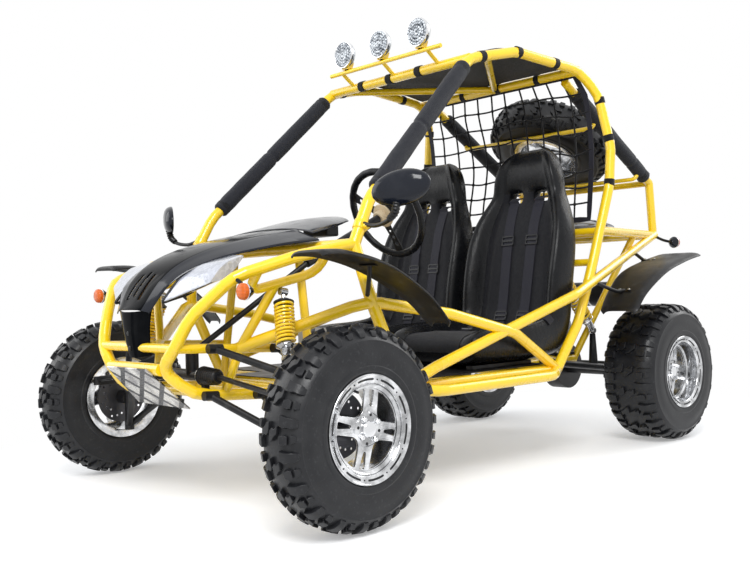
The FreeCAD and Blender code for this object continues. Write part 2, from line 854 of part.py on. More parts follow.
def rear_frame():
    """Deck rails, rear posts, struts up to the roof, cradle stays and the spare's rack."""
    bar, brace, small = (get(end) for end in ("side_tube_radius", "brace_tube_radius", "small_tube_radius"))
    shapes = []
    for side in (LEFT_SIDE, RIGHT_SIDE):
        deck_front = between(at("hoop_mid", side), at("hoop_low", side), DECK_SHARE)
        shapes.append(rod(deck_front, at("deck_rear", side), bar))
        shapes.append(rod(at("deck_rear", side), at("strut_bottom", side), bar))
        shapes.append(rod(at("strut_bottom", side), at("strut_top", side), bar))
        stay_top = between(deck_front, at("deck_rear", side), CRADLE_STAY_SHARE)
        shapes.append(rod(at("cradle_rear", side), stay_top, brace))
    shapes.append(across_bar("deck_rear", bar))
    shapes.append(across_bar("strut_bottom", brace))
    shapes.append(across_bar("hoop_low", brace))
    front = between(at("hoop_mid"), at("hoop_low"), DECK_SHARE)
    shapes.append(rod(front, FreeCAD.Vector(-front.x, front.y, front.z), brace))
    drop = rack_normal * (get("spare_rise") - get("front_tyre_width") / 2 - small - get("seat_gap"))
    for share in RACK_BAR_SHARES:
        start, end = [between(at("strut_top", side), at("strut_bottom", side), share) for side in (1, -1)]
        shapes.append(tube([start, start + drop, end + drop, end], small, get("tower_drop")))
    for share in DECK_BAR_SHARES:
        fronts = [between(at("hoop_mid", side), at("hoop_low", side), DECK_SHARE) for side in (1, -1)]
        start, end = [between(place, at("deck_rear", side), share) for place, side in zip(fronts, (1, -1))]
        shapes.append(rod(start, end, brace))
    carriers = SIDES + [solid_of("floor_frame"), solid_of("roof_bars")]
    return coped(fused(shapes), carriers)


DECK_SHARE = 0.59
CRADLE_STAY_SHARE = 0.62
RACK_BAR_SHARES = (0.34, 0.86)
DECK_BAR_SHARES = (0.3, 0.82)
shaped("rear_frame", rear_frame())


# Steering gear and front suspension

def kingpin(side, up):
    """A point on the steering axis."""
    return FreeCAD.Vector(side * get("kingpin_across"), -get("wheelbase") / 2, up)


def knuckle_shape():
    """Left upright with ball pins, spindle, steering arm and brake caliper."""
    middle, half = get("tyre_radius"), get("upright_half_height")
    low, high = kingpin(1, middle - half), kingpin(1, middle + half)
    axis_up = FreeCAD.Vector(0, 0, get("ball_boss_height"))
    shapes = [rod(low, high, get("upright_radius"))]
    shapes.append(rod(low - axis_up, high + axis_up, get("ball_pin_radius")))
    hub = FRONT_HUB.Base
    disc_back = hub.x - get("brake_disc_inset") - get("brake_disc_thickness")
    disc_front = hub.x - get("brake_disc_inset")
    pin = kingpin(1, middle)
    hub_end = front_hub_bore_end() - get("running_gap")
    stub = get("hub_bore_radius") - get("running_gap")
    shapes.append(rod(pin, FreeCAD.Vector(hub_end, hub.y, hub.z), stub))
    shoulder = FreeCAD.Vector(disc_back - get("spindle_shoulder_gap"), hub.y, hub.z)
    shapes.append(rod(pin, shoulder, get("spindle_shoulder_radius")))
    arm_up = middle + get("steering_arm_height")
    eye = kingpin(1, arm_up) + FORWARD * get("steering_arm_reach")
    half_width, half_thick = get("steering_arm_width") / 2, get("steering_arm_thickness") / 2
    shapes.append(block(
        FreeCAD.Vector(eye.x - half_width, eye.y, arm_up - half_thick),
        FreeCAD.Vector(eye.x + half_width, hub.y, arm_up + half_thick),
    ))
    lift = FreeCAD.Vector(0, 0, half_thick)
    shapes.append(rod(eye - lift, eye + lift, get("steering_eye_radius")))
    inner, outer = get("caliper_inner_radius"), get("caliper_outer_radius")
    side, gap = get("caliper_side"), get("caliper_gap")
    long_half, narrow_half = get("caliper_length") / 2, get("caliper_bracket_half")
    caliper = block(
        FreeCAD.Vector(disc_back - gap - side, hub.y + inner, hub.z - long_half),
        FreeCAD.Vector(disc_front + gap + side, hub.y + outer, hub.z + long_half),
    )
    room = Part.makeCylinder(
        get("brake_disc_radius") + gap,
        disc_front - disc_back + gap + gap,
        FreeCAD.Vector(disc_back - gap, hub.y, hub.z),
        LEFTWARD,
    )
    shapes.append(caliper.cut(room))
    shapes.append(block(
        FreeCAD.Vector(pin.x, hub.y, hub.z - narrow_half),
        FreeCAD.Vector(disc_back - gap, hub.y + inner + side, hub.z + narrow_half),
    ).common(block(
        FreeCAD.Vector(disc_back - gap - side, hub.y - outer, hub.z - long_half),
        FreeCAD.Vector(disc_back - gap, hub.y + outer, hub.z + long_half),
    )))
    return fused(shapes)


def front_hub_bore_end():
    """Where the front hub's blind bore ends, along the axle."""
    local = number(
        "front_tyre_width/2 - bead_inset/2 + rim_lip_thickness - front_dish"
        " - rim_disc_thickness - running_gap"
    )
    return get("front_track_half") + local


knuckle = shaped("knuckle_left", knuckle_shape())
mirror_node("knuckle_right", knuckle)


def rack_end():
    """Left end of the rack bar."""
    along = -get("wheelbase") / 2 - get("rack_ahead")
    return FreeCAD.Vector(get("rack_bar_half"), along, get("rack_up"))


def rack_and_rods():
    """Sliding rack bar with a tie rod to an eye on top of each steering arm."""
    end = rack_end()
    other = FreeCAD.Vector(-end.x, end.y, end.z)
    shapes = [rod(other, end, get("rack_bar_radius"))]
    arm_top = get("tyre_radius") + get("steering_arm_height") + get("steering_arm_thickness") / 2
    height = get("tie_rod_eye_height")
    eye_up = arm_top + get("tie_rod_clearance") + height / 2
    for side in (LEFT_SIDE, RIGHT_SIDE):
        eye = kingpin(side, eye_up) + FORWARD * get("steering_arm_reach")
        start = FreeCAD.Vector(side * end.x, end.y, end.z)
        shapes.append(rod(start, eye, get("tie_rod_radius")))
        half = FreeCAD.Vector(0, 0, height / 2)
        shapes.append(rod(eye - half, eye + half, get("steering_eye_radius")))
    return fused(shapes)


shaped("rack_bar", rack_and_rods())

STEERING_CENTRE = vector("steering_wheel_across", "steering_wheel_along", "steering_wheel_up")
COLUMN_JOINT = vector("steering_wheel_across", "column_joint_along", "column_joint_up")
COLUMN_RUN = (COLUMN_JOINT - STEERING_CENTRE).normalize()


def steering_wheel():
    """Three-spoke wheel, its boss ending where the column starts."""
    radius, grip = get("steering_wheel_radius"), get("steering_grip_radius")
    middle = FreeCAD.Vector(radius - grip, 0, 0)
    corners = []
    for step in range(GRIP_SIDES + 1):
        turn = math.radians(360 * step / GRIP_SIDES)
        corners.append(middle + FreeCAD.Vector(grip * math.cos(turn), 0, grip * math.sin(turn)))
    shapes = [Part.Face(Part.makePolygon(corners)).revolve(FreeCAD.Vector(), UP, 360)]
    shapes.append(Part.makeCylinder(get("steering_boss_radius"), get("steering_boss_height")))
    width, thick = get("steering_spoke_width"), get("steering_spoke_thickness")
    for turn in SPOKE_TURNS:
        spoke = Part.makeBox(radius - grip, width, thick, FreeCAD.Vector(0, -width / 2, -thick / 2))
        spoke.rotate(FreeCAD.Vector(), UP, turn)
        shapes.append(spoke)
    shape = fused(shapes)
    shape.Placement = FreeCAD.Placement(STEERING_CENTRE, FreeCAD.Rotation(UP, COLUMN_RUN))
    return shape


GRIP_SIDES = 6
SPOKE_TURNS = (0, 90, 180)
shaped("steering_wheel", steering_wheel())


def steering_gear():
    """Column, lower shaft, pinion tower and rack housing on its saddles."""
    start = STEERING_CENTRE + COLUMN_RUN * (get("steering_boss_height") + get("tie_rod_clearance"))
    shapes = [rod(start, COLUMN_JOINT, get("column_radius"))]
    end = rack_end()
    tower = FreeCAD.Vector(get("pinion_across"), end.y, end.z)
    head = tower + UP * get("pinion_height")
    shapes.append(rod(tower, head, get("pinion_radius")))
    shapes.append(rod(COLUMN_JOINT, head, get("small_tube_radius")))
    half = get("rack_housing_half")
    low, high = FreeCAD.Vector(-half, end.y, end.z), FreeCAD.Vector(half, end.y, end.z)
    shapes.append(rod(low, high, get("rack_housing_radius")))
    bar = between(at("chin_bend"), at("lower_rail"), RACK_BAR_SHARE)
    floor_up = bar.z + get("brace_tube_radius") + get("seat_gap")
    width = get("small_tube_radius")
    for middle in (half - width, width - half):
        shapes.append(block(
            FreeCAD.Vector(middle - width, end.y - width, floor_up),
            FreeCAD.Vector(middle + width, end.y + width, end.z),
        ))
    body = fused(shapes)
    bore = rod(
        low - LEFTWARD * get("overrun"),
        high + LEFTWARD * get("overrun"),
        get("rack_bar_radius") + get("running_gap"),
    )
    return body.cut(bore)


shaped("steering_gear", steering_gear())


def arm(rail_start, rail_end, rail_radius, shares, boss_low):
    """A two-legged suspension arm from two bushes on a rail to a ball boss."""
    direction = (rail_end - rail_start).normalize()
    bush, half = get("arm_bush_radius"), get("arm_bush_length") / 2
    outward = direction.cross(UP).normalize()
    outward = outward if outward.x > 0 else outward * -1
    boss = kingpin(1, boss_low)
    top = kingpin(1, boss_low + get("ball_boss_height"))
    shapes = [rod(boss, top, get("ball_boss_radius"))]
    for share in shares:
        rail_point = between(rail_start, rail_end, share)
        centre = rail_point + outward * (rail_radius + bush + get("seat_gap"))
        shapes.append(rod(centre - direction * half, centre + direction * half, bush))
        shapes.append(rod(centre, between(boss, top, 0.5), get("arm_tube_radius")))
    shape = fused(shapes)
    reach = UP * get("overrun")
    pin = rod(boss - reach, top + reach, get("ball_pin_radius") + get("running_gap"))
    upright = get("upright_radius") + get("upright_clearance")
    return shape.cut(pin).cut(rod(top, top + reach, upright)).cut(rod(boss - reach, boss, upright))


UPPER_ARM_SHARES = (0.24, 0.7)
LOWER_ARM_SHARES = (0.14, 0.82)
doc.recompute()
mid_rail_rear = FreeCAD.Vector(get("lower_flare_across"), get("lower_flare_along"), get("mid_rail_up"))
boss_gap = get("upright_half_height") + get("ball_boss_gap")
upper_arm = arm(
    at("nose_low"), mid_rail_rear, get("brace_tube_radius"), UPPER_ARM_SHARES,
    get("tyre_radius") + boss_gap,
)
lower_arm = arm(
    at("chin_bend"), at("lower_rail"), get("side_tube_radius"), LOWER_ARM_SHARES,
    get("tyre_radius") - boss_gap - get("ball_boss_height"),
)
arm_shapes = [upper_arm, lower_arm]
arm_shapes += [mirrored(shape) for shape in arm_shapes]
shaped("front_arms", Part.makeCompound(arm_shapes))


def coil_over(low, high):
    """Damper body, rod and a spring drawn as rings between two seats."""
    run = high - low
    length = run.Length
    body, coil, wire = get("damper_radius"), get("spring_radius"), get("spring_wire")
    eye = get("damper_eye_radius")
    outline = [(0, eye / 2), (body, eye / 2)]
    seat_low, seat_high = length * SPRING_SHARES[0], length * SPRING_SHARES[1]
    outline += [(body, seat_low - wire), (coil, seat_low - wire)]
    pitch = (seat_high - seat_low) / SPRING_TURNS
    for turn in range(SPRING_TURNS):
        start = seat_low + pitch * turn
        outline += [(coil - wire, start), (coil, start + pitch / 2)]
    outline += [(coil, seat_high), (coil, seat_high + wire)]
    outline += [(body, seat_high + wire), (body, length - eye / 2), (0, length - eye / 2)]
    places = [FreeCAD.Vector(radius, 0, up) for radius, up in outline]
    wire_loop = Part.makePolygon(places + [places[0]])
    shape = Part.Face(wire_loop).revolve(FreeCAD.Vector(), UP, 360)
    half = LEFTWARD * get("damper_eye_half")
    for up in (0, length):
        centre = UP * up
        shape = shape.fuse(rod(centre - half, centre + half, eye))
    shape.Placement = FreeCAD.Placement(low, FreeCAD.Rotation(UP, run))
    return shape


SPRING_SHARES = (0.2, 0.82)
SPRING_TURNS = 7
SHOCK_ARM_SHARE = 0.56
SHOCK_LOOP_SHARE = 0.5
doc.recompute()


def tower_loop_point(share):
    """A point on the left shock tower's loop."""
    start = between(at("nose_shoulder"), at("nose_corner"), TOWER_FRONT_SHARE)
    end = between(at("pillar_foot"), at("nose_shoulder"), TOWER_REAR_SHARE)
    drop = FreeCAD.Vector(-get("tower_inset"), 0, -get("tower_drop"))
    return between(start, end, share) + drop


shock_head = tower_loop_point(SHOCK_LOOP_SHARE)
shock_head.z -= get("brace_tube_radius") + get("damper_eye_radius") + get("shock_head_gap")
rail_side = between(at("nose_low"), mid_rail_rear, sum(UPPER_ARM_SHARES) / 2)
boss_middle = kingpin(1, get("tyre_radius") + boss_gap + get("ball_boss_height") / 2)
shock_foot = between(rail_side, boss_middle, SHOCK_ARM_SHARE)
shock_foot.z += get("front_shock_lift")
shaped("front_shocks", both_sides(coil_over(shock_foot, shock_head)))


# Rear axle, swing arm and drive

def rear_hub_bore_end():
    """Where the rear hub's blind bore ends, along the axle."""
    local = number(
        "rear_tyre_width/2 - bead_inset/2 + rim_lip_thickness - rear_dish"
        " - rim_disc_thickness - running_gap"
    )
    return get("rear_track_half") + local


def rear_place(across, up_shift=0):
    """A point on the rear axle's line."""
    return FreeCAD.Vector(across, get("wheelbase") / 2, get("tyre_radius") + up_shift)


axle_end = rear_hub_bore_end() - get("running_gap")
axle_radius = get("hub_bore_radius") - get("running_gap")
shaped("rear_axle", rod(rear_place(-axle_end), rear_place(axle_end), axle_radius))


def rear_arm():
    """Trailing arms from the cradle to the axle tube, with the chain case."""
    tube_half, reach = get("axle_tube_half"), get("overrun")
    shapes = [rod(rear_place(-tube_half), rear_place(tube_half), get("axle_tube_radius"))]
    case_half = get("chain_case_width") / 2
    case_at = get("chain_case_across")
    case_ends = rear_place(case_at - case_half), rear_place(case_at + case_half)
    shapes.append(rod(*case_ends, get("chain_case_radius")))
    pivot_half = get("arm_pivot_half")
    pivot_inner = get("cradle_rear_across") + get("side_tube_radius") + get("seat_gap")
    for side in (LEFT_SIDE, RIGHT_SIDE):
        pivot = FreeCAD.Vector(side * get("rear_arm_across"), get("rear_pivot_along"), get("rear_pivot_up"))
        inward = FreeCAD.Vector(side * pivot_inner, pivot.y, pivot.z)
        outward = pivot + LEFTWARD * side * pivot_half
        shapes.append(rod(inward, outward, get("rear_pivot_radius")))
        hub = rear_place(side * get("rear_arm_across"))
        shapes.append(rod(pivot, hub, get("brace_tube_radius")))
        foot = rear_shock_foot(side)
        foot_half = get("damper_eye_half") / 2
        bar_point = between(pivot, hub, SHOCK_TAB_SHARE)
        inner, tab_top = foot.x - foot_half, foot.z - get("shock_tab_drop")
        eye, tab_half = get("damper_eye_radius"), get("shock_tab_half")
        shapes.append(slab([
            FreeCAD.Vector(inner, bar_point.y - tab_half, bar_point.z),
            FreeCAD.Vector(inner, bar_point.y + tab_half, bar_point.z),
            FreeCAD.Vector(inner, foot.y + eye, tab_top),
            FreeCAD.Vector(inner, foot.y - eye, tab_top),
        ], LEFTWARD * foot_half * 2))
    shape = fused(shapes)
    bore = rod(
        rear_place(-tube_half - reach), rear_place(tube_half + reach), axle_radius + get("running_gap")
    )
    return shape.cut(bore).cut(solid_of("rear_frame"))


def rear_shock_foot(side):
    """Centre of a rear damper's lower eye."""
    return FreeCAD.Vector(side * get("rear_arm_across"), get("rear_shock_along"), get("rear_shock_low"))


SHOCK_TAB_SHARE = 0.61
SHOCK_LEAN_SHARE = 0.65
doc.recompute()
shaped("rear_arm", rear_arm())

lean = FreeCAD.Vector(0, 1, -SHOCK_LEAN_SHARE).normalize()
shock_top = FreeCAD.Vector(get("rear_arm_across"), get("hoop_low_along"), get("hoop_low_up"))
shock_top += lean * (get("brace_tube_radius") + get("damper_eye_radius") + get("seat_gap"))
shaped("rear_shocks", both_sides(coil_over(rear_shock_foot(LEFT_SIDE), shock_top)))


def engine():
    """Crankcase on its feet, finned cylinder, head and the round cover of the drive."""
    rail_top = get("sill_up") + get("side_tube_radius") + get("seat_gap")
    half, front, rear = get("engine_half"), get("engine_front"), get("engine_rear")
    top = get("engine_case_top")
    foot_deep = get("engine_foot_depth")
    shapes = [block(
        FreeCAD.Vector(-half, front, rail_top), FreeCAD.Vector(half, rear, top)
    )]
    feet_half = get("cradle_rear_across") + get("side_tube_radius")
    rear_foot = get("cradle_rear_along") - get("side_tube_radius") - foot_deep
    for along in (front + foot_deep, rear_foot):
        shapes.append(block(
            FreeCAD.Vector(-feet_half, along, rail_top),
            FreeCAD.Vector(feet_half, along + foot_deep, rail_top + get("engine_foot_thickness")),
        ))
    cylinder_half, fin, pitch = get("cylinder_half"), get("fin_reach"), get("fin_pitch")
    middle = FreeCAD.Vector(get("cylinder_across"), (front + rear) / 2, top)
    head = get("cylinder_height")
    shapes.append(block(
        middle - FreeCAD.Vector(cylinder_half, cylinder_half, fin),
        middle + FreeCAD.Vector(cylinder_half, cylinder_half, head),
    ))
    for step in range(int((head - pitch) // pitch)):
        low = middle.z + pitch * (step + 1)
        shapes.append(block(
            FreeCAD.Vector(middle.x - cylinder_half - fin, middle.y - cylinder_half - fin, low),
            FreeCAD.Vector(middle.x + cylinder_half + fin, middle.y + cylinder_half + fin, low + pitch / 2),
        ))
    cover = FreeCAD.Vector(half, rear - get("drive_cover_radius"), (rail_top + top) / 2)
    shapes.append(rod(cover, cover + LEFTWARD * get("drive_cover_depth"), get("drive_cover_radius")))
    return fused(shapes)


doc.recompute()
shaped("engine", engine())


def fuel_tank():
    """A flat box with a raised crown on the deck bars."""
    deck_front = between(at("hoop_mid"), at("hoop_low"), DECK_SHARE)
    bar_up = between(deck_front, at("deck_rear"), DECK_BAR_SHARES[1]).z
    seat = bar_up + get("brace_tube_radius") + get("seat_gap")
    half, front, rear = get("tank_half"), get("tank_front"), get("tank_rear")
    crown = get("tank_crown")
    side_height, height = get("tank_side_height"), get("tank_height")
    outline = [
        FreeCAD.Vector(-half, front, seat),
        FreeCAD.Vector(half, front, seat),
        FreeCAD.Vector(half, front, seat + side_height),
        FreeCAD.Vector(half - crown, front, seat + height),
        FreeCAD.Vector(crown - half, front, seat + height),
        FreeCAD.Vector(-half, front, seat + side_height),
    ]
    cap = FreeCAD.Vector(half - crown - get("tank_cap_radius"), front + crown, seat + height)
    box = slab(outline, FreeCAD.Vector(0, rear - front, 0))
    return box.fuse(rod(cap, cap + UP * get("tank_cap_height"), get("tank_cap_radius")))


doc.recompute()
shaped("fuel_tank", fuel_tank())


def exhaust():
    """Silencer across the tail below the deck, hung from it, with its pipe from the head."""
    along, up, half = get("silencer_along"), get("silencer_up"), get("silencer_half")
    left, right = FreeCAD.Vector(half, along, up), FreeCAD.Vector(-half, along, up)
    shapes = [rod(right, left, get("silencer_radius"))]
    port = FreeCAD.Vector(
        get("cylinder_across"), get("engine_rear") + get("fin_pitch"),
        get("engine_case_top") + get("cylinder_height") / 2,
    )
    start = FreeCAD.Vector(
        port.x, (get("engine_front") + get("engine_rear")) / 2 + get("cylinder_half") + get("fin_reach")
        + get("seat_gap"), port.z,
    )
    elbow = FreeCAD.Vector(port.x, (start.y + along) / 2, port.z)
    shapes.append(tube([start, elbow, FreeCAD.Vector(port.x, along, up)], get("brace_tube_radius")))
    outlet = FreeCAD.Vector(half - get("silencer_radius"), along, up)
    shapes.append(rod(outlet, outlet + FreeCAD.Vector(0, get("silencer_tail"), 0), get("brace_tube_radius")))
    hanger = FreeCAD.Vector(0, get("deck_rear_along"), 0)
    bar_low = get("deck_rear_up") - get("side_tube_radius") - get("seat_gap")
    plate = get("engine_foot_thickness") / 2
    for place in (half - get("silencer_radius") * 2, get("silencer_radius") * 2 - half):
        shapes.append(slab([
            FreeCAD.Vector(place - plate, along - plate, up),
            FreeCAD.Vector(place - plate, hanger.y - get("side_tube_radius"), bar_low),
            FreeCAD.Vector(place - plate, hanger.y + get("small_tube_radius"), bar_low),
            FreeCAD.Vector(place - plate, along + get("silencer_radius"), up),
        ], LEFTWARD * plate * 2))
    return fused(shapes)


doc.recompute()
shaped("exhaust", exhaust())


# Seats, belts and soft trim

def seat(side):
    """Bucket seat: a side view cut to the front outline, hollowed between its bolsters."""
    middle = side * get("seat_across")
    wide = get("seat_half_width")
    front, rear, low = get("seat_front_along"), get("cushion_rear_along"), get("seat_floor_up")
    top, top_rear, thick = get("seat_top_up"), get("seat_top_along"), get("seat_thickness")
    cushion, rise = get("cushion_up"), get("bolster_rise")
    side_view = [
        (front, low), (front, cushion + rise * BOLSTER_FRONT_SHARE),
        (rear - rise - rise, cushion + rise * BOLSTER_FRONT_SHARE),
        (rear - rise, cushion + rise), (rear, get("seat_shoulder_up") - thick),
        (top_rear - thick, top), (top_rear, top), (rear + thick, low),
    ]
    shape = slab([FreeCAD.Vector(middle - wide, along, up) for along, up in side_view], LEFTWARD * wide * 2)
    base = wide * SEAT_BASE_SHARE
    shoulder, head = get("seat_shoulder_half"), get("seat_top_half")
    front_view = [
        (base, low), (base, cushion + rise), (wide, (cushion + top) / 2 - rise / 2),
        (shoulder, get("seat_shoulder_up")), (head, top),
    ]
    corners = front_view + [(-across, up) for across, up in reversed(front_view)]
    outline = slab([FreeCAD.Vector(middle + across, front, up) for across, up in corners],
                   FreeCAD.Vector(0, top_rear - front, 0))
    shape = shape.common(outline)
    channel_half = wide - get("bolster_width")
    channel = slab([FreeCAD.Vector(middle - channel_half, along, up) for along, up in seat_surface()
                    + [(front - rise, get("belt_slot_up")), (front - rise, cushion)]],
                   LEFTWARD * channel_half * 2)
    shape = shape.cut(channel)
    for shift in (-1, 1):
        centre = middle + shift * get("belt_slot_across")
        half_width, half_high = get("belt_slot_width") / 2, get("belt_slot_height") / 2
        shape = shape.cut(block(
            FreeCAD.Vector(centre - half_width, front, get("belt_slot_up") - half_high),
            FreeCAD.Vector(centre + half_width, top_rear + thick, get("belt_slot_up") + half_high),
        ))
    runner = get("seat_runner")
    pan_top = get("sill_up") + get("side_tube_radius") + get("pan_thickness") + get("seat_gap") * 2
    for place in (middle - channel_half, middle + channel_half - runner):
        shape = shape.fuse(block(
            FreeCAD.Vector(place, front + runner, pan_top),
            FreeCAD.Vector(place + runner, get("pan_rear_along") - runner, cushion - rise),
        ))
    return shape


def seat_surface():
    """Side view of the cushion and backrest between the bolsters."""
    front, rear = get("seat_front_along"), get("cushion_rear_along")
    cushion, slot = get("cushion_up"), get("belt_slot_up")
    lean = rear + (get("seat_top_along") - get("seat_thickness") - rear) * SLOT_LEAN_SHARE
    return [(front, cushion), (rear, cushion + get("canopy_sag")), (lean, slot)]


BOLSTER_FRONT_SHARE = 0.35
SEAT_BASE_SHARE = 0.9
SLOT_LEAN_SHARE = 0.84
seat_left = shaped("seat_left", seat(LEFT_SIDE))
mirror_node("seat_right", seat_left)


def harness(side):
    """Two shoulder belts down the backrest, each with its buckle."""
    middle = side * get("seat_across")
    gap, thick = get("belt_gap"), get("belt_thickness")
    surface = seat_surface()
    along_run = FreeCAD.Vector(0, surface[2][0] - surface[1][0], surface[2][1] - surface[1][1]).normalize()
    out = FreeCAD.Vector(0, -along_run.z, along_run.y)
    high = FreeCAD.Vector(0, surface[2][0], surface[2][1]) - along_run * get("belt_slot_height")
    low = FreeCAD.Vector(0, surface[1][0], surface[1][1]) + along_run * get("belt_slot_height")
    parts = []
    half = get("belt_width") / 2
    for shift in (-1, 1):
        across = LEFTWARD * (middle + shift * get("belt_slot_across") - half)
        strip = slab([
            across + high + out * gap, across + low + out * gap,
            across + low + out * (gap + thick), across + high + out * (gap + thick),
        ], LEFTWARD * half * 2)
        buckle_at = across + between(low, high, BUCKLE_SHARE) + out * (gap + thick)
        buckle = slab([
            buckle_at, buckle_at + along_run * half * 2,
            buckle_at + along_run * half * 2 + out * thick, buckle_at + out * thick,
        ], LEFTWARD * half * 2)
        parts.append(strip.fuse(buckle))
    return parts


BUCKLE_SHARE = 0.4
shaped("harnesses", Part.makeCompound(harness(LEFT_SIDE) + harness(RIGHT_SIDE)))


def sleeve(start, end, inner, near_share, far_share):
    """A foam tube round a stretch of frame tube."""
    low, high = between(start, end, near_share), between(start, end, far_share)
    reach = (high - low).normalize() * get("overrun")
    outer = rod(low, high, get("pad_radius"))
    return outer.cut(rod(low - reach, high + reach, inner + get("pad_gap")))


def foam_pads():
    """Sleeves on the front pillars and on the rear struts."""
    pads = []
    for side in (LEFT_SIDE, RIGHT_SIDE):
        pads.append(sleeve(
            at("pillar_bend", side), at("roof_front", side), get("main_tube_radius"), *PILLAR_PAD_SHARES
        ))
        strut = sleeve(
            at("strut_top", side), at("strut_bottom", side), get("side_tube_radius"), *STRUT_PAD_SHARES
        )
        pads.append(strut.cut(solid_of("rear_frame")))
    return Part.makeCompound(pads)


PILLAR_PAD_SHARES = (0.06, 0.93)
STRUT_PAD_SHARES = (0.1, 0.94)
shaped("foam_pads", foam_pads())


def canopy():
    """Fabric roof between the rails, on the roof braces."""
    rest = get("brace_tube_radius") + get("seat_gap")
    gap, main, bar = get("canopy_rail_gap"), get("main_tube_radius"), get("side_tube_radius")
    front = get("roof_front_along") + bar + gap
    rear = get("rail_rear_along") - bar - gap
    rails = [at("roof_front"), at("rail_crest"), at("rail_rear")]
    sides = [(front, rails[0].z + rest), (rails[1].y, rails[1].z + rest), (rear, rails[2].z + rest)]
    half = get("rail_rear_across")
    plate = side_plate(sides, get("canopy_thickness"), -half, half)
    plate.translate(UP * get("canopy_thickness"))
    inner = [rail.x - main - gap for rail in rails]
    plan = [(inner[0], front), (inner[1], rails[1].y), (inner[2], rear)]
    corners = plan + [(-across, along) for across, along in reversed(plan)]
    low = get("roof_front_up")
    outline = slab([FreeCAD.Vector(across, along, low) for across, along in corners], UP * (half / 2))
    return plate.common(outline)


shaped("roof_canopy", canopy())


def net():
    """Safety net behind the seats, a grid of straps that follows the hoop legs' bend."""
    thick, cord, half = get("net_thickness"), get("net_cord"), get("net_half")
    places = [(get("net_top_along"), get("net_top_up")), (get("net_bend_along"), get("net_bend_up")),
              (get("net_low_along"), get("net_low_up"))]
    side_view = places + [(along + thick, up) for along, up in reversed(places)]
    plate = slab([FreeCAD.Vector(-half, along, up) for along, up in side_view], LEFTWARD * half * 2)
    columns, rows = int(get("net_columns")), int(get("net_rows"))
    wide = (half * 2 - cord) / columns
    high = (places[0][1] - places[-1][1] - cord) / rows
    holes = []
    front = min(along for along, up in places) - thick
    depth = max(along for along, up in places) - front + thick * 2
    for column in range(columns):
        for row in range(rows):
            corner = FreeCAD.Vector(-half + cord + wide * column, front, places[-1][1] + cord + high * row)
            holes.append(Part.makeBox(wide - cord, depth, high - cord, corner))
    top_half, shoulder = get("net_top_half"), get("hoop_shoulder_up")
    corners = [(half, places[-1][1]), (half, shoulder), (top_half, places[0][1])]
    corners += [(-across, up) for across, up in reversed(corners)]
    outline = slab([FreeCAD.Vector(across, front, up) for across, up in corners], FreeCAD.Vector(0, depth, 0))
    clear = get("side_tube_radius") + get("canopy_rail_gap")
    struts = [rod(at("strut_top", side), at("strut_bottom", side), clear) for side in (LEFT_SIDE, RIGHT_SIDE)]
    return plate.common(outline).cut(Part.makeCompound(holes)).cut(struts)


doc.recompute()
shaped("rear_net", net())


# Body panels, lamps and mirrors

def floor_pan():
    """Floor plate on the sill tubes, narrow between the front wheels."""
    seat_up = get("sill_up") + get("side_tube_radius") + get("seat_gap")
    wide = get("sill_across")
    narrow = get("lower_flare_across") - get("side_tube_radius")
    corners = [
        (wide, get("pan_rear_along")), (wide, get("leg_foot_along")), (narrow, get("leg_foot_along")),
        (narrow, get("pan_front_along")),
    ]
    corners += [(-across, along) for across, along in reversed(corners)]
    places = [FreeCAD.Vector(across, along, seat_up) for across, along in corners]
    plate = slab(places, UP * get("pan_thickness"))
    return plate.cut(Part.makeCompound(SIDES)).cut(solid_of("nose_frame"))


shaped("floor_pan", floor_pan())


def skid_plate():
    """Bright plate under the chin, off the tubes by a small gap."""
    chin, bend = at("nose_chin"), at("chin_bend")
    run = FreeCAD.Vector(0, bend.y - chin.y, bend.z - chin.z).normalize()
    out = FreeCAD.Vector(0, run.z, -run.y)
    off = out * (get("side_tube_radius") + get("seat_gap"))
    high = FreeCAD.Vector(0, chin.y, chin.z) + off - run * get("skid_rise")
    low = FreeCAD.Vector(0, bend.y, bend.z) + off + run * get("skid_tail")
    top, bottom = get("skid_half_top"), get("skid_half_bottom")
    outline = [high + LEFTWARD * top, low + LEFTWARD * bottom, low - LEFTWARD * bottom, high - LEFTWARD * top]
    return slab(outline, out * get("skid_thickness"))


doc.recompute()
shaped("skid_plate", skid_plate())


def arched(station):
    """A thin arch across the nose: station, half width, edge and crown heights."""
    along, half, edge, crown = station
    outer = [(-half, edge), (-half * ARCH_SHARE, crown - (crown - edge) * ARCH_DROP_SHARE), (0, crown)]
    outer += [(-across, up) for across, up in reversed(outer[:-1])]
    wall = get("hood_wall")
    inner = [(across, up - wall) for across, up in reversed(outer)]
    places = [FreeCAD.Vector(across, along, up) for across, up in outer + inner]
    return Part.makePolygon(places + [places[0]])


ARCH_SHARE = 0.6
ARCH_DROP_SHARE = 0.3


def hood_stations():
    """Stations of the nose cover from tip to dash."""
    return [tuple(get("hood_%s_%s" % (name, end)) for end in ("along", "half", "edge", "crown"))
            for name in ("tip", "brow", "lamp", "waist", "rear", "dash")]


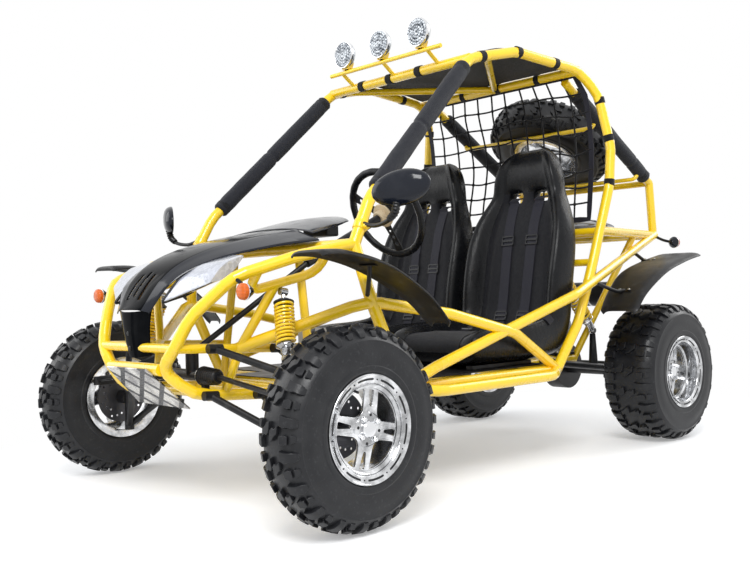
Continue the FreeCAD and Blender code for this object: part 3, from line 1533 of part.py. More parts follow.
def nose_cover():
    """Hood and front apron as one thin shell, with three raked slits."""
    stations = hood_stations()
    shell = Part.makeLoft([arched(station) for station in stations], True, True)
    tip = stations[0]
    wall = get("hood_wall")
    low_half = get("apron_low_half")
    low = FreeCAD.Vector(0, get("apron_low_along"), get("apron_low_up"))
    high = FreeCAD.Vector(0, tip[0], tip[2])
    wide, narrow = LEFTWARD * low_half, LEFTWARD * tip[1]
    outline = [high + narrow, low + wide, low - wide, high - narrow]
    apron = slab(outline, FreeCAD.Vector(0, wall, 0))
    shape = shell.fuse(apron)
    slope = FreeCAD.Vector(0, stations[2][0] - stations[1][0], stations[2][3] - stations[1][3]).normalize()
    centre = FreeCAD.Vector(0, stations[1][0], stations[1][3])
    for place in (-1, 0, 1):
        start = centre + LEFTWARD * place * get("slit_spacing") - slope * get("slit_length") / 2
        start -= slope * get("slit_width") * abs(place)
        along = slope * get("slit_length")
        across = LEFTWARD * get("slit_width") / 2
        depth = UP * get("overrun")
        end = start + along
        cut = slab([start - across, start + across, end + across, end - across], depth + depth)
        cut.translate(depth * -1)
        shape = shape.cut(cut)
    return shape


shaped("nose_cover", nose_cover())


def instrument_pod():
    """Cover behind the hood with its dial housing, on two legs from the dash bar."""
    names = ("pod_front", "pod_middle", "pod_rear")
    stations = [tuple(get("hood_%s_%s" % (name, end)) for end in ("along", "half", "edge", "crown"))
                for name in names]
    shapes = [Part.makeLoft([arched(station) for station in stations], True, True)]
    rear = stations[-1]
    half, deep, drop = (get("binnacle_" + end) for end in ("half", "depth", "drop"))
    shapes.append(block(
        FreeCAD.Vector(-half, rear[0] - deep, rear[2] - drop),
        FreeCAD.Vector(half, rear[0] - deep * BINNACLE_TAIL_SHARE, rear[3] - drop * BINNACLE_CROWN_SHARE),
    ))
    bar_top = get("pillar_foot_up") + get("side_tube_radius") + get("seat_gap")
    leg = get("pod_leg_half")
    leg_top = stations[0][3] - (stations[0][3] - stations[0][2]) * ARCH_DROP_SHARE - get("hood_wall") / 2
    for side in (LEFT_SIDE, RIGHT_SIDE):
        middle = side * get("pod_leg_across")
        shapes.append(block(
            FreeCAD.Vector(middle - leg, get("pillar_foot_along") - leg / 2, bar_top),
            FreeCAD.Vector(middle + leg, get("pillar_foot_along") + leg, leg_top),
        ))
    return fused(shapes)


BINNACLE_TAIL_SHARE = 0.333
BINNACLE_CROWN_SHARE = 0.25
shaped("instrument_pod", instrument_pod())


def headlamp():
    """Wedge lamp under the hood's edge, its outline drawn back toward the outside."""
    inner = LAMP_OUTLINE
    near, far = get("headlamp_inner"), get("headlamp_outer")
    sections = []
    for across, draw, shrink in ((near, 0, 1), (far, get("headlamp_sweep"), LAMP_SHRINK_SHARE)):
        base_along, base_up = get("headlamp_along"), get("headlamp_up")
        places = [FreeCAD.Vector(
            across, base_along + draw + get("headlamp_length") * wide * shrink,
            base_up + draw * LAMP_LIFT_SHARE + get("headlamp_height") * high * shrink,
        ) for wide, high in inner]
        sections.append(Part.makePolygon(places + [places[0]]))
    shape = Part.makeLoft(sections, True, True)
    return shape.cut(solid_of("nose_cover")).cut(solid_of("nose_frame"))


LAMP_OUTLINE = ((0, 0), (0.28, 0.5), (0.52, 0.78), (1, 1), (0.76, 0.55), (0.48, 0.2))
LAMP_SHRINK_SHARE = 0.62
LAMP_LIFT_SHARE = 0.75
doc.recompute()
shaped("headlamps", both_sides(headlamp()))


def roof_lamps():
    """Three round lamps on short stalks from the lamp bar."""
    radius, back, depth = get("roof_lamp_radius"), get("roof_lamp_back_radius"), get("roof_lamp_depth")
    up = get("lamp_bar_up") + get("roof_lamp_rise")
    bar_top = get("lamp_bar_up") + get("lamp_bar_radius") + get("seat_gap")
    lamps = []
    for place in (-1, 0, 1):
        front = FreeCAD.Vector(place * get("roof_lamp_spacing"), get("lamp_bar_along") - depth / 2, up)
        outline = [(0, 0), (radius, 0), (radius, depth * LAMP_RIM_SHARE), (back, depth), (0, depth)]
        places = [FreeCAD.Vector(wide, 0, high) for wide, high in outline]
        bowl = Part.Face(Part.makePolygon(places + [places[0]])).revolve(FreeCAD.Vector(), UP, 360)
        bowl.Placement = FreeCAD.Placement(front, FreeCAD.Rotation(UP, FORWARD * -1))
        foot = FreeCAD.Vector(front.x, get("lamp_bar_along"), bar_top)
        head = FreeCAD.Vector(front.x, get("lamp_bar_along"), up)
        lamps.append(bowl.fuse(rod(foot, head, get("lamp_stalk_radius"))))
    return Part.makeCompound(lamps)


LAMP_RIM_SHARE = 0.3
FENDER_STAY_SHARE = 0.7
shaped("roof_lamps", roof_lamps())


def lamp_on_stalk(lens_from, lens_to, radius, anchor):
    """A small round lamp with a stalk to the tube that carries it."""
    middle = between(lens_from, lens_to, 0.5)
    return rod(lens_from, lens_to, radius).fuse(rod(middle, anchor, get("lamp_stalk_radius")))


def signal_lamps():
    """Amber lamps beside the nose and red lamps at the tail."""
    radius, length = get("signal_radius"), get("signal_length")
    front = vector("signal_front_across", "signal_front_along", "signal_front_up")
    rear = vector("signal_rear_across", "signal_rear_along", "signal_rear_up")
    shapes = [
        lamp_on_stalk(front, front - FORWARD * length, radius, at("nose_corner")),
        lamp_on_stalk(rear, rear + FORWARD * length, radius, at("deck_rear")),
    ]
    shapes = [shape.cut(solid_of("nose_frame")).cut(solid_of("rear_frame")).cut(SIDES[0]) for shape in shapes]
    return Part.makeCompound(shapes + [mirrored(shape) for shape in shapes])


doc.recompute()
shaped("signal_lamps", signal_lamps())


def mirror():
    """Oval mirror head on a stem from the front pillar."""
    centre = vector("mirror_across", "mirror_along", "mirror_up")
    oval = Part.Ellipse(FreeCAD.Vector(), get("mirror_half_width"), get("mirror_half_height")).toShape()
    head = Part.Face(Part.Wire([oval])).extrude(UP * get("mirror_depth"))
    head.Placement = FreeCAD.Placement(centre, FreeCAD.Rotation(LEFTWARD, 90))
    foot = centre - UP * get("mirror_half_height") * MIRROR_STEM_SHARE
    foot.y -= get("mirror_depth") / 2
    clamp = between(at("pillar_foot"), at("pillar_bend"), MIRROR_CLAMP_SHARE)
    elbow = foot - UP * get("mirror_stem_drop")
    stalk = get("lamp_stalk_radius")
    return head.multiFuse([rod(foot, elbow, stalk), rod(elbow, clamp, stalk)]).cut(SIDES[0])


MIRROR_STEM_SHARE = 0.8
MIRROR_CLAMP_SHARE = 0.4
doc.recompute()
shaped("mirrors", both_sides(mirror()))


def fender(outline, plan, stays):
    """A bent guard cut to its plan, with stays to the frame."""
    plate = side_plate(outline, get("fender_thickness"), get("fender_inner"), get("fender_outer"))
    low = min(up for along, up in outline) - get("overrun")
    high = max(up for along, up in outline) + get("overrun")
    outline = [FreeCAD.Vector(across, along, low) for across, along in plan]
    shape = plate.common(slab(outline, UP * (high - low)))
    for start, end in stays:
        shape = shape.fuse(rod(start, end, get("lamp_stalk_radius")))
    return shape.cut(SIDES[0]).cut(solid_of("rear_frame"))


def fender_line(names):
    """Side view places of a fender."""
    return [(get("fender_%s_along" % name), get("fender_%s_up" % name)) for name in names]


front_line = fender_line(("front_lip", "front_crown", "front_back", "front_tail", "front_end"))
outer, inner = get("fender_outer"), get("front_fender_inner")
front_plan = [
    (inner, front_line[0][0]), (outer, front_line[0][0]), (outer, front_line[-1][0]),
    (get("front_fender_tail_inner"), front_line[-1][0]), (inner, front_line[2][0]),
]
front_head = FreeCAD.Vector(get("front_fender_tail_inner"), front_line[2][0], front_line[2][1])
shaped("front_fenders", both_sides(fender(front_line, front_plan, [(front_head, at("swoop_top"))])))

rear_line = fender_line(("rear_end", "rear_tail", "rear_front", "rear_crown", "rear_lip"))
rear_inner = get("fender_inner")
rear_plan = [
    (get("front_fender_inner"), rear_line[0][0]), (outer, rear_line[0][0]), (outer, rear_line[-1][0]),
    (rear_inner, rear_line[-1][0]), (rear_inner, rear_line[2][0]),
]
rear_head = FreeCAD.Vector(get("front_fender_tail_inner"), rear_line[1][0], rear_line[1][1])
rear_back = FreeCAD.Vector(get("front_fender_inner"), rear_line[3][0], rear_line[3][1])
rear_stays = [
    (rear_head, between(at("hoop_low"), at("hoop_knee"), LAMP_RIM_SHARE)),
    (rear_back, between(at("cross_side"), at("cross_tail"), FENDER_STAY_SHARE)),
]
shaped("rear_fenders", both_sides(fender(rear_line, rear_plan, rear_stays)))


def pedals():
    """Throttle and brake pads on arms from one pivot block on the floor."""
    seat_up = get("sill_up") + get("side_tube_radius") + get("pan_thickness") + get("seat_gap") * 2
    shapes = []
    base, thick, high = get("pedal_pad"), get("pedal_thickness"), get("pedal_height")
    for across in (get("brake_pedal_across"), get("throttle_pedal_across")):
        along = get("pedal_along")
        foot = FreeCAD.Vector(across - thick, along, seat_up)
        shapes.append(block(foot, foot + FreeCAD.Vector(thick * 2, base / 2, high)))
        pad = FreeCAD.Vector(across - base / 2, along + base / 2, seat_up + high - base)
        shapes.append(block(pad, pad + FreeCAD.Vector(base, thick, base * 2)))
    return fused([shapes[0], shapes[1]]), fused([shapes[2], shapes[3]])


doc.recompute()
shaped("pedals", Part.makeCompound(list(pedals())))
doc.recompute()


# Every object is checked before any file is written

for item in doc.Objects:
    troubles = [state for state in item.State if state in ("Invalid", "Error")]
    if troubles:
        raise RuntimeError("%s is %s" % (item.Name, troubles))
for item in nodes:
    if item.Shape.isNull() or not item.Shape.isValid() or not item.Shape.Solids:
        raise RuntimeError("%s has no valid shape" % item.Label)
for item in nodes:
    item.Shape.exportStep("parts/%s.step" % item.Label)
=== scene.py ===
"""Two-seat dune buggy: finishes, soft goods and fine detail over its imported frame."""

import json
import math
import random

import bpy
from bpy.props import FloatProperty, FloatVectorProperty, IntProperty, PointerProperty
from mathutils import Matrix, Vector, noise
from mathutils.bvhtree import BVHTree


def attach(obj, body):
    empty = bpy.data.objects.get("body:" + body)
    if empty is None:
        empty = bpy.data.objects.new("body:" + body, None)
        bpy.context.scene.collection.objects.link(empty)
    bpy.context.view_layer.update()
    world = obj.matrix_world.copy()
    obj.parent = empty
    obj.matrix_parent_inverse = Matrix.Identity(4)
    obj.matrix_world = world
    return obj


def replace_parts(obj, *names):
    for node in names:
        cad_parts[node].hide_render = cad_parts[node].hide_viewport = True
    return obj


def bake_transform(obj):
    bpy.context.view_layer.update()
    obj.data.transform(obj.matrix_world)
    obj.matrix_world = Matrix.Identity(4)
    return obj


bl_info = {
    "name": "Dune Buggy",
    "version": (1, 0, 0),
    "blender": (4, 5, 0),
    "location": "View3D > Sidebar > Buggy",
    "description": "Finishes, soft goods and fine detail for a two-seat dune buggy",
    "category": "Object",
}

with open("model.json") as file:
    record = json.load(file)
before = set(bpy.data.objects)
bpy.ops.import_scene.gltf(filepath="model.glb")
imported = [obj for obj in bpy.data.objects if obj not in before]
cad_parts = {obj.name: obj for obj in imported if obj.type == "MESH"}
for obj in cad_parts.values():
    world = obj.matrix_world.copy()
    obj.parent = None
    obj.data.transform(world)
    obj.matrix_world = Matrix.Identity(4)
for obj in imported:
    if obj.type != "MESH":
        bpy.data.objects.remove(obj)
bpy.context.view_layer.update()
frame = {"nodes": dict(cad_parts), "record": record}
nodes = frame["nodes"]


# Sizes and colours

def color_value(name, description, default):
    return FloatVectorProperty(
        name=name, description=description, subtype="COLOR", min=0, max=1, default=default)


def length_value(name, description, default):
    return FloatProperty(name=name, description=description, default=default, unit="LENGTH")


class BuggyColors(bpy.types.PropertyGroup):
    frame: color_value("Frame paint", "Gloss paint of the tube frame", (1.0, 0.66, 0.008))
    steel: color_value("Steel paint", "Satin paint of the arms and running gear", (0.007, 0.007, 0.008))
    rubber: color_value("Rubber", "Tyres and small boots", (0.0085, 0.009, 0.011))
    plastic: color_value("Plastic", "Moulded guards and covers", (0.0075, 0.008, 0.0095))
    vinyl: color_value("Vinyl", "Seat covers", (0.0055, 0.006, 0.0075))
    foam: color_value("Foam cover", "Sleeves on the pillars and struts", (0.017, 0.0185, 0.026))
    belt: color_value("Webbing", "Belts, ties and the rear net", (0.018, 0.018, 0.026))
    amber: color_value("Amber lens", "Front signal lamps", (0.86, 0.16, 0.01))
    tail: color_value("Red lens", "Tail lamps", (0.62, 0.015, 0.01))


class BuggyWheels(bpy.types.PropertyGroup):
    radius: length_value("Tyre radius", "Out to the tips of the lugs", 0.279)
    lug: length_value("Lug height", "Tread blocks above the carcass", 0.012)
    front_width: length_value("Front width", "Front and spare tyre", 0.156)
    rear_width: length_value("Rear width", "Rear tyre", 0.236)
    pitches: IntProperty(name="Tread pitches", description="Rows of blocks round a tyre", default=19, min=8)
    spoke_angle: FloatProperty(name="Spoke angle", description="Where the first spoke stands",
                               default=math.radians(78), subtype="ANGLE")


class BuggySeats(bpy.types.PropertyGroup):
    across: length_value("Seat offset", "Middle of a seat from the centre line", 0.255)
    swell: length_value("Swell limit", "Furthest that a cover puffs out", 0.012)
    belt_width: length_value("Belt width", "Shoulder and lap belts", 0.046)


class BuggySoft(bpy.types.PropertyGroup):
    pad_radius: length_value("Pad radius", "Foam sleeves, outside", 0.0295)
    net_cord: length_value("Net cord", "Diameter of the rear net's cord", 0.0075)
    canopy_sag: length_value("Canopy sag", "Dip of the roof sheet between its bars", 0.008)


# Finishes

class Wire:
    """One output in a finish. A sum on wires adds the Math nodes for it."""

    def __init__(self, finish, socket):
        self.finish = finish
        self.socket = socket

    def worked(self, operation, first, second):
        return self.finish.node("Math", {"operation": operation}, {0: first, 1: second})

    def __add__(self, other):
        return self.worked("ADD", self, other)

    def __radd__(self, other):
        return self.worked("ADD", other, self)

    def __sub__(self, other):
        return self.worked("SUBTRACT", self, other)

    def __rsub__(self, other):
        return self.worked("SUBTRACT", other, self)

    def __mul__(self, other):
        return self.worked("MULTIPLY", self, other)

    def __rmul__(self, other):
        return self.worked("MULTIPLY", other, self)

    def wave(self, per_metre):
        """A soft ripple from 0 to 1, so many to the metre."""
        return self.worked("SINE", self * (per_metre * math.tau), 0.0) * 0.5 + 0.5


class Finish:
    """One material or world, its colour, gloss and relief made from nodes."""

    def __init__(self, name, world=None):
        self.material = world or bpy.data.materials.new(name)
        self.material.use_nodes = True
        self.tree = self.material.node_tree
        self.tree.nodes.clear()
        self.end = self.tree.nodes.new("ShaderNodeOutput" + ("World" if world else "Material"))

    def node(self, kind, settings=None, sockets=None, output=0):
        """Add one node: its settings first, then the values or wires of its sockets."""
        made = self.tree.nodes.new("ShaderNode" + kind)
        for name, value in (settings or {}).items():
            setattr(made, name, value)
        for name, value in (sockets or {}).items():
            if isinstance(value, Wire):
                self.tree.links.new(value.socket, made.inputs[name])
            else:
                made.inputs[name].default_value = value
        return Wire(self, made.outputs[output])

    def place(self, stretch=(1, 1, 1)):
        """Where a point is on the piece, in metres."""
        spot = self.node("TexCoord", output="Object")
        if stretch == (1, 1, 1):
            return spot
        return self.node("VectorMath", {"operation": "MULTIPLY"}, {0: spot, 1: stretch})

    def cloud(self, scale, detail=3.0, stretch=(1, 1, 1)):
        """Soft uneven patches from 0 to 1."""
        return self.node("TexNoise", {}, {"Vector": self.place(stretch), "Scale": scale, "Detail": detail})

    def cells(self, scale):
        """Distance to the nearest of many scattered points."""
        return self.node("TexVoronoi", {}, {"Vector": self.place(), "Scale": scale})

    def span(self, value, low, high, out_low=0.0, out_high=1.0):
        """Map a span of a wire onto another and hold it there."""
        return self.node("MapRange", {"clamp": True}, {0: value, 1: low, 2: high, 3: out_low, 4: out_high})

    def tint(self, mask, low, high):
        """A colour between two."""
        ends = [end if isinstance(end, Wire) else (*end[:3], 1.0) for end in (low, high)]
        return self.node("Mix", {"data_type": "RGBA"}, {0: mask, 6: ends[0], 7: ends[1]}, output=2)

    def up_facing(self):
        """How far a face looks up, for dust that settles."""
        normal = self.node("NewGeometry", output="Normal")
        return self.node("SeparateXYZ", {}, {0: normal}, output=2)

    def height(self):
        """Height above the ground, in metres."""
        return self.node("SeparateXYZ", {}, {0: self.place()}, output=2)

    def shell(self, color, roughness, metallic=0.0, relief=None, depth=0.001, strength=1.0, **fixed):
        """Close the finish with one shader."""
        sockets = {"Base Color": color, "Roughness": roughness, "Metallic": metallic}
        if not isinstance(color, Wire):
            sockets["Base Color"] = (*color[:3], 1.0)
        if relief is not None:
            bump = {"Height": relief, "Distance": depth, "Strength": strength}
            sockets["Normal"] = self.node("Bump", {}, bump)
        sockets.update({name.replace("_", " "): value for name, value in fixed.items()})
        return self.close(self.node("BsdfPrincipled", {}, sockets))

    def close(self, shader):
        """Wire a shader to the end."""
        self.tree.links.new(shader.socket, self.end.inputs["Surface"])
        return self.material


def darker(color, share):
    return tuple(channel * share for channel in color)


def lighter(color, share):
    return tuple(channel + (1 - channel) * share for channel in color)


def gloss_paint(name, color):
    """Stoved paint with a little orange peel and road dust low down."""
    f = Finish(name)
    patches = f.cloud(9.0, 4.0)
    dust = f.span(f.height(), 0.6, 0.28) * f.span(f.cloud(38.0, 5.0), 0.5, 0.78) * 0.14
    tone = f.tint(f.span(patches, 0.3, 0.7), darker(color, 0.96), color)
    tone = f.tint(dust, tone, (0.36, 0.27, 0.14))
    gloss = f.span(patches, 0.3, 0.8, 0.24, 0.34) + dust
    relief = f.cloud(420.0, 1.0)
    return f.shell(tone, gloss, relief=relief, depth=0.0002, strength=0.25,
                   Coat_Weight=0.7, Coat_Roughness=0.08)


def satin_paint(name, color):
    """Satin black on steel, rubbed paler in patches."""
    f = Finish(name)
    wear = f.span(f.cloud(26.0, 6.0), 0.56, 0.78) * 0.5
    tone = f.tint(wear, color, lighter(color, 0.05))
    return f.shell(tone, f.span(f.cloud(14.0), 0.3, 0.7, 0.32, 0.48),
                   relief=f.cloud(300.0, 2.0), depth=0.0003, strength=0.35, Specular_IOR_Level=0.35)


def bare_metal(name, color, rough, grain=1.0, metallic=1.0):
    """Bright metal with fine drawn lines and faint smears."""
    f = Finish(name)
    lines = f.cloud(60.0, 2.0, (1.0, 1.0, 22.0))
    smears = f.cloud(11.0, 4.0)
    tone = f.tint(f.span(smears, 0.3, 0.75), darker(color, 0.86), color)
    gloss = f.span(smears, 0.3, 0.8, rough, rough + 0.12) + lines * (0.08 * grain)
    return f.shell(tone, gloss, metallic=metallic, relief=lines, depth=0.00015 * grain, strength=0.4)


def polished(name, color):
    """Hand-polished alloy: clear in places, swirled and smoked in others."""
    f = Finish(name)
    smoke = f.span(f.cloud(21.0, 3.0), 0.38, 0.66)
    swirl = f.cloud(70.0, 4.0, (3.0, 1.0, 1.0))
    tone = f.tint(smoke, darker(color, 0.42), color)
    return f.shell(tone, 0.08 + swirl * 0.16, metallic=0.94, relief=swirl, depth=0.0005, strength=0.35)


def cast_metal(name, color):
    """Rough cast alloy with oily hollows."""
    f = Finish(name)
    pits = f.cloud(260.0, 3.0)
    oil = f.span(f.cloud(13.0, 5.0), 0.5, 0.72)
    tone = f.tint(oil * 0.75, color, darker(color, 0.28))
    return f.shell(tone, f.span(oil, 0, 1, 0.55, 0.36), metallic=0.75, relief=pits,
                   depth=0.0009, strength=0.6)


def moulded(name, color, rough, coarse):
    """Moulded plastic with a leathery grain and a dusting on top."""
    f = Finish(name)
    grain = f.cells(coarse)
    dust = f.span(f.up_facing(), 0.4, 1.0) * f.span(f.cloud(30.0, 5.0), 0.42, 0.8) * 0.35
    tone = f.tint(dust, color, (0.05, 0.05, 0.053))
    return f.shell(tone, f.span(f.cloud(20.0), 0.3, 0.7, rough, rough + 0.12) + dust * 0.4,
                   relief=grain, depth=0.0005, strength=0.28, Specular_IOR_Level=0.36)


def gloss_shell(name, color, sheen):
    """Painted shell with a deep clear coat."""
    f = Finish(name)
    haze = f.span(f.cloud(18.0, 6.0), 0.5, 0.8) * 0.2
    return f.shell(f.tint(haze, color, lighter(color, 0.03)), 0.13 + haze, relief=f.cloud(90.0, 1.0),
                   depth=0.0003, strength=0.12, Specular_IOR_Level=sheen,
                   Coat_Weight=sheen * 0.5, Coat_Roughness=0.05)


def rubber(name, color):
    """Tyre rubber, greyed with dust, scuffed on the lugs."""
    f = Finish(name)
    bloom = f.span(f.cloud(16.0, 6.0), 0.35, 0.75)
    scuff = f.span(f.cloud(95.0, 5.0), 0.58, 0.82) * 0.3
    tone = f.tint(bloom * 0.6, color, lighter(color, 0.016))
    tone = f.tint(scuff, tone, (0.09, 0.09, 0.095))
    return f.shell(tone, f.span(bloom, 0, 1, 0.3, 0.5), relief=f.cloud(210.0, 4.0),
                   depth=0.0007, strength=0.5, Specular_IOR_Level=0.36)


def vinyl(name, color):
    """Seat vinyl: a fine pebble grain, creased a little."""
    f = Finish(name)
    pebble = f.cells(620.0)
    crease = f.span(f.cloud(30.0, 5.0, (1.0, 1.0, 0.4)), 0.48, 0.62)
    relief = pebble * 0.35 + crease * 0.8
    tone = f.tint(f.span(f.cloud(8.0), 0.3, 0.7), darker(color, 0.7), lighter(color, 0.006))
    return f.shell(tone, f.span(f.cloud(24.0, 4.0), 0.3, 0.7, 0.2, 0.32), relief=relief, depth=0.0012,
                   strength=0.4, Specular_IOR_Level=0.2)


def woven(name, color, threads, lift=0.03):
    """Plain weave on the two level axes and up the height, whichever way a face looks."""
    f = Finish(name)
    spot = f.place()
    axes = [f.node("SeparateXYZ", {}, {0: spot}, output=axis) for axis in range(3)]
    weave = (axes[0] + axes[1]).wave(threads) * (axes[2] + axes[1] * 0.5).wave(threads)
    fuzz = f.cloud(90.0, 5.0)
    tone = f.tint(weave * 0.6 + fuzz * 0.3, darker(color, 0.6), lighter(color, lift * 0.4))
    return f.shell(tone, f.span(fuzz, 0.3, 0.7, 0.66, 0.86), relief=weave + fuzz * 0.4, depth=0.0006,
                   strength=0.6, Specular_IOR_Level=0.25, Sheen_Weight=0.12, Sheen_Roughness=0.5)


def ribbed_belt(name, color):
    """Seat-belt webbing: a fine herringbone that runs with the belt."""
    f = Finish(name)
    along = f.node("TexCoord", output="UV")
    u, v = (f.node("SeparateXYZ", {}, {0: along}, output=axis) for axis in (0, 1))
    rib = (u + v).wave(420.0) * u.wave(160.0)
    fuzz = f.cloud(70.0, 4.0)
    tone = f.tint(rib * 0.5 + fuzz * 0.4, darker(color, 0.6), (0.026, 0.026, 0.04))
    return f.shell(tone, 0.5 + fuzz * 0.2, relief=rib, depth=0.0004, strength=0.7, Specular_IOR_Level=0.25,
                   Sheen_Weight=0.08, Sheen_Roughness=0.4)


def clear_lens(name, color):
    """Clear lamp glass: mostly see-through, bright where it catches the light."""
    f = Finish(name)
    see = f.node("BsdfTransparent", {}, {"Color": (*color, 1.0)})
    flutes = f.cloud(60.0, 1.0)
    sheen = f.node("BsdfPrincipled", {}, {
        "Base Color": (*color, 1.0), "Roughness": 0.03, "Specular IOR Level": 0.8,
        "Normal": f.node("Bump", {}, {"Height": flutes, "Distance": 0.0004, "Strength": 0.3}),
    })
    facing = f.node("LayerWeight", {}, {"Blend": 0.35}, output="Facing")
    return f.close(f.node("MixShader", {}, {0: f.span(facing, 0.0, 1.0, 0.16, 0.75), 1: see, 2: sheen}))


def cut_glass(name, dark, light, facets, metallic):
    """Lamp glass over a bright bowl: small facets, each painted at random between a shaded and a lit tone, so
    painted highlights and painted shade stand in for facets catching the light.
    """
    f = Finish(name)
    facet = f.node("TexVoronoi", {}, {"Vector": f.place(), "Scale": facets}, output=1)
    painted_glint_share = f.node("SeparateXYZ", {}, {0: facet}, output=0)
    ridge = f.cells(facets)
    # painted highlights and painted shade: each facet's colour lies at random between the shaded and the lit
    # tone
    tone = f.tint(f.span(painted_glint_share, 0.1, 0.9), dark, light)
    return f.shell(tone, 0.1 + painted_glint_share * 0.12, metallic=metallic, relief=ridge, depth=0.0016, strength=0.5,
                   Coat_Weight=1.0, Coat_Roughness=0.03)


def tinted_lens(name, color):
    """Coloured lens with moulded ribs."""
    f = Finish(name)
    ribs = f.height().wave(260.0)
    glow = f.tint(ribs, darker(color, 0.55), color)
    return f.shell(glow, 0.14 + ribs * 0.1, relief=ribs, depth=0.0012, strength=0.6,
                   Specular_IOR_Level=0.3, Coat_Weight=0.2, Coat_Roughness=0.04)


def tread_plate(name, color):
    """Bright plate with a dark chequer, scratched."""
    f = Finish(name)
    spot = f.place()
    axes = [f.node("SeparateXYZ", {}, {0: spot}, output=axis) for axis in range(3)]
    slant = (axes[1] * -0.7 + axes[2] * 0.75) * 1.3
    first = f.span((axes[0] + slant).wave(8.5), 0.1, 0.16)
    second = f.span((axes[0] - slant).wave(8.5), 0.1, 0.16)
    mask = 1.0 - first * second
    scratch = f.span(f.cloud(45.0, 6.0, (1.0, 8.0, 8.0)), 0.5, 0.75)
    panel = f.tint(f.span(f.cloud(17.0, 3.0), 0.4, 0.62), (0.34, 0.33, 0.33), color)
    tone = f.tint(mask, panel, (0.012, 0.013, 0.018))
    tone = f.tint(scratch * 0.35, tone, (0.85, 0.83, 0.8))
    return f.shell(tone, 0.25 + scratch * 0.2, metallic=0.7, relief=scratch, depth=0.0005, strength=0.5)


FINISHES = {
    # maker, name, colour or the name and share of a chosen one, and the maker's own values
    "frame_yellow": (gloss_paint, "frame_paint", ("frame", 1)),
    "spring_yellow": (gloss_paint, "spring_paint", ("frame", 1)),
    "black_steel": (satin_paint, "satin_black", ("steel", 1)),
    "bright_steel": (bare_metal, "bright_steel", (0.52, 0.53, 0.55), 0.3),
    "zinc": (bare_metal, "zinc_plate", (0.6, 0.6, 0.58), 0.34, 0.6),
    "tyre": (rubber, "tyre_rubber", ("rubber", 1)),
    "alloy": (polished, "polished_alloy", (0.9, 0.91, 0.93)),
    "black_plastic": (moulded, "moulded_black", ("plastic", 1), 0.36, 340.0),
    "gloss_black": (gloss_shell, "gloss_black", (0.006, 0.008, 0.014), 0.26),
    # a darker, nearly unreflecting copy of gloss_black for the hood's middle and the apron: it paints the
    # dark reflection on the hood's top
    "deep_black": (gloss_shell, "deep_black", (0.0025, 0.003, 0.004), 0.03),
    "lamp_glass": (clear_lens, "lamp_glass", (0.94, 0.96, 0.98)),
    "chrome": (bare_metal, "chrome", (0.86, 0.87, 0.89), 0.07, 0.2),
    "amber_plastic": (tinted_lens, "amber_lens", ("amber", 1)),
    "red_lens": (tinted_lens, "red_lens", ("tail", 1)),
    "bright_plate": (tread_plate, "bright_plate", (0.8, 0.78, 0.74)),
    "engine_metal": (cast_metal, "cast_alloy", (0.36, 0.37, 0.38)),
    "seat_vinyl": (vinyl, "seat_vinyl", ("vinyl", 1)),
    "seat_cloth": (woven, "seat_cloth", (0.006, 0.0065, 0.0105), 800.0, 0.004),
    "webbing": (woven, "net_webbing", ("belt", 0.3), 900.0, 0.01),
    "belt": (ribbed_belt, "belt_webbing", ("belt", 1)),
    "foam_cover": (woven, "foam_cover", ("foam", 1), 700.0, 0.02),
    "canopy": (woven, "canopy_cloth", ("belt", 0.35), 520.0, 0.01),
    "dark_disc": (bare_metal, "brake_steel", (0.1, 0.1, 0.11), 0.36, 1.0, 0.8),
    # both cut-glass finishes carry painted highlights and painted shade on their facets
    "crystal": (cut_glass, "cut_glass", (0.16, 0.18, 0.21), (0.7, 0.74, 0.78), 95.0, 0.35),
    "lamp_white": (cut_glass, "lamp_white", (0.42, 0.44, 0.5), (0.55, 0.57, 0.64), 85.0, 0.1),
    "rubber_boot": (rubber, "boot_rubber", ("rubber", 0.7)),
    "grip": (vinyl, "grip_leather", ("vinyl", 1.3)),
    "bronze": (bare_metal, "bronze", (0.42, 0.27, 0.13), 0.3, 0.6),
    "thread": (woven, "thread", (0.3, 0.28, 0.24), 900.0),
    "cream_plastic": (moulded, "cream_plastic", (0.62, 0.5, 0.33), 0.4, 300.0),
}
finishes = {}


def finish(name):
    """The finish of that name, made when first asked for."""
    if name not in finishes:
        maker, title, color, *values = FINISHES[name]
        if isinstance(color[0], str):
            color = darker(getattr(bpy.context.scene.buggy_colors, color[0]), color[1])
        finishes[name] = maker(title, color, *values)
    return finishes[name]


# Forms

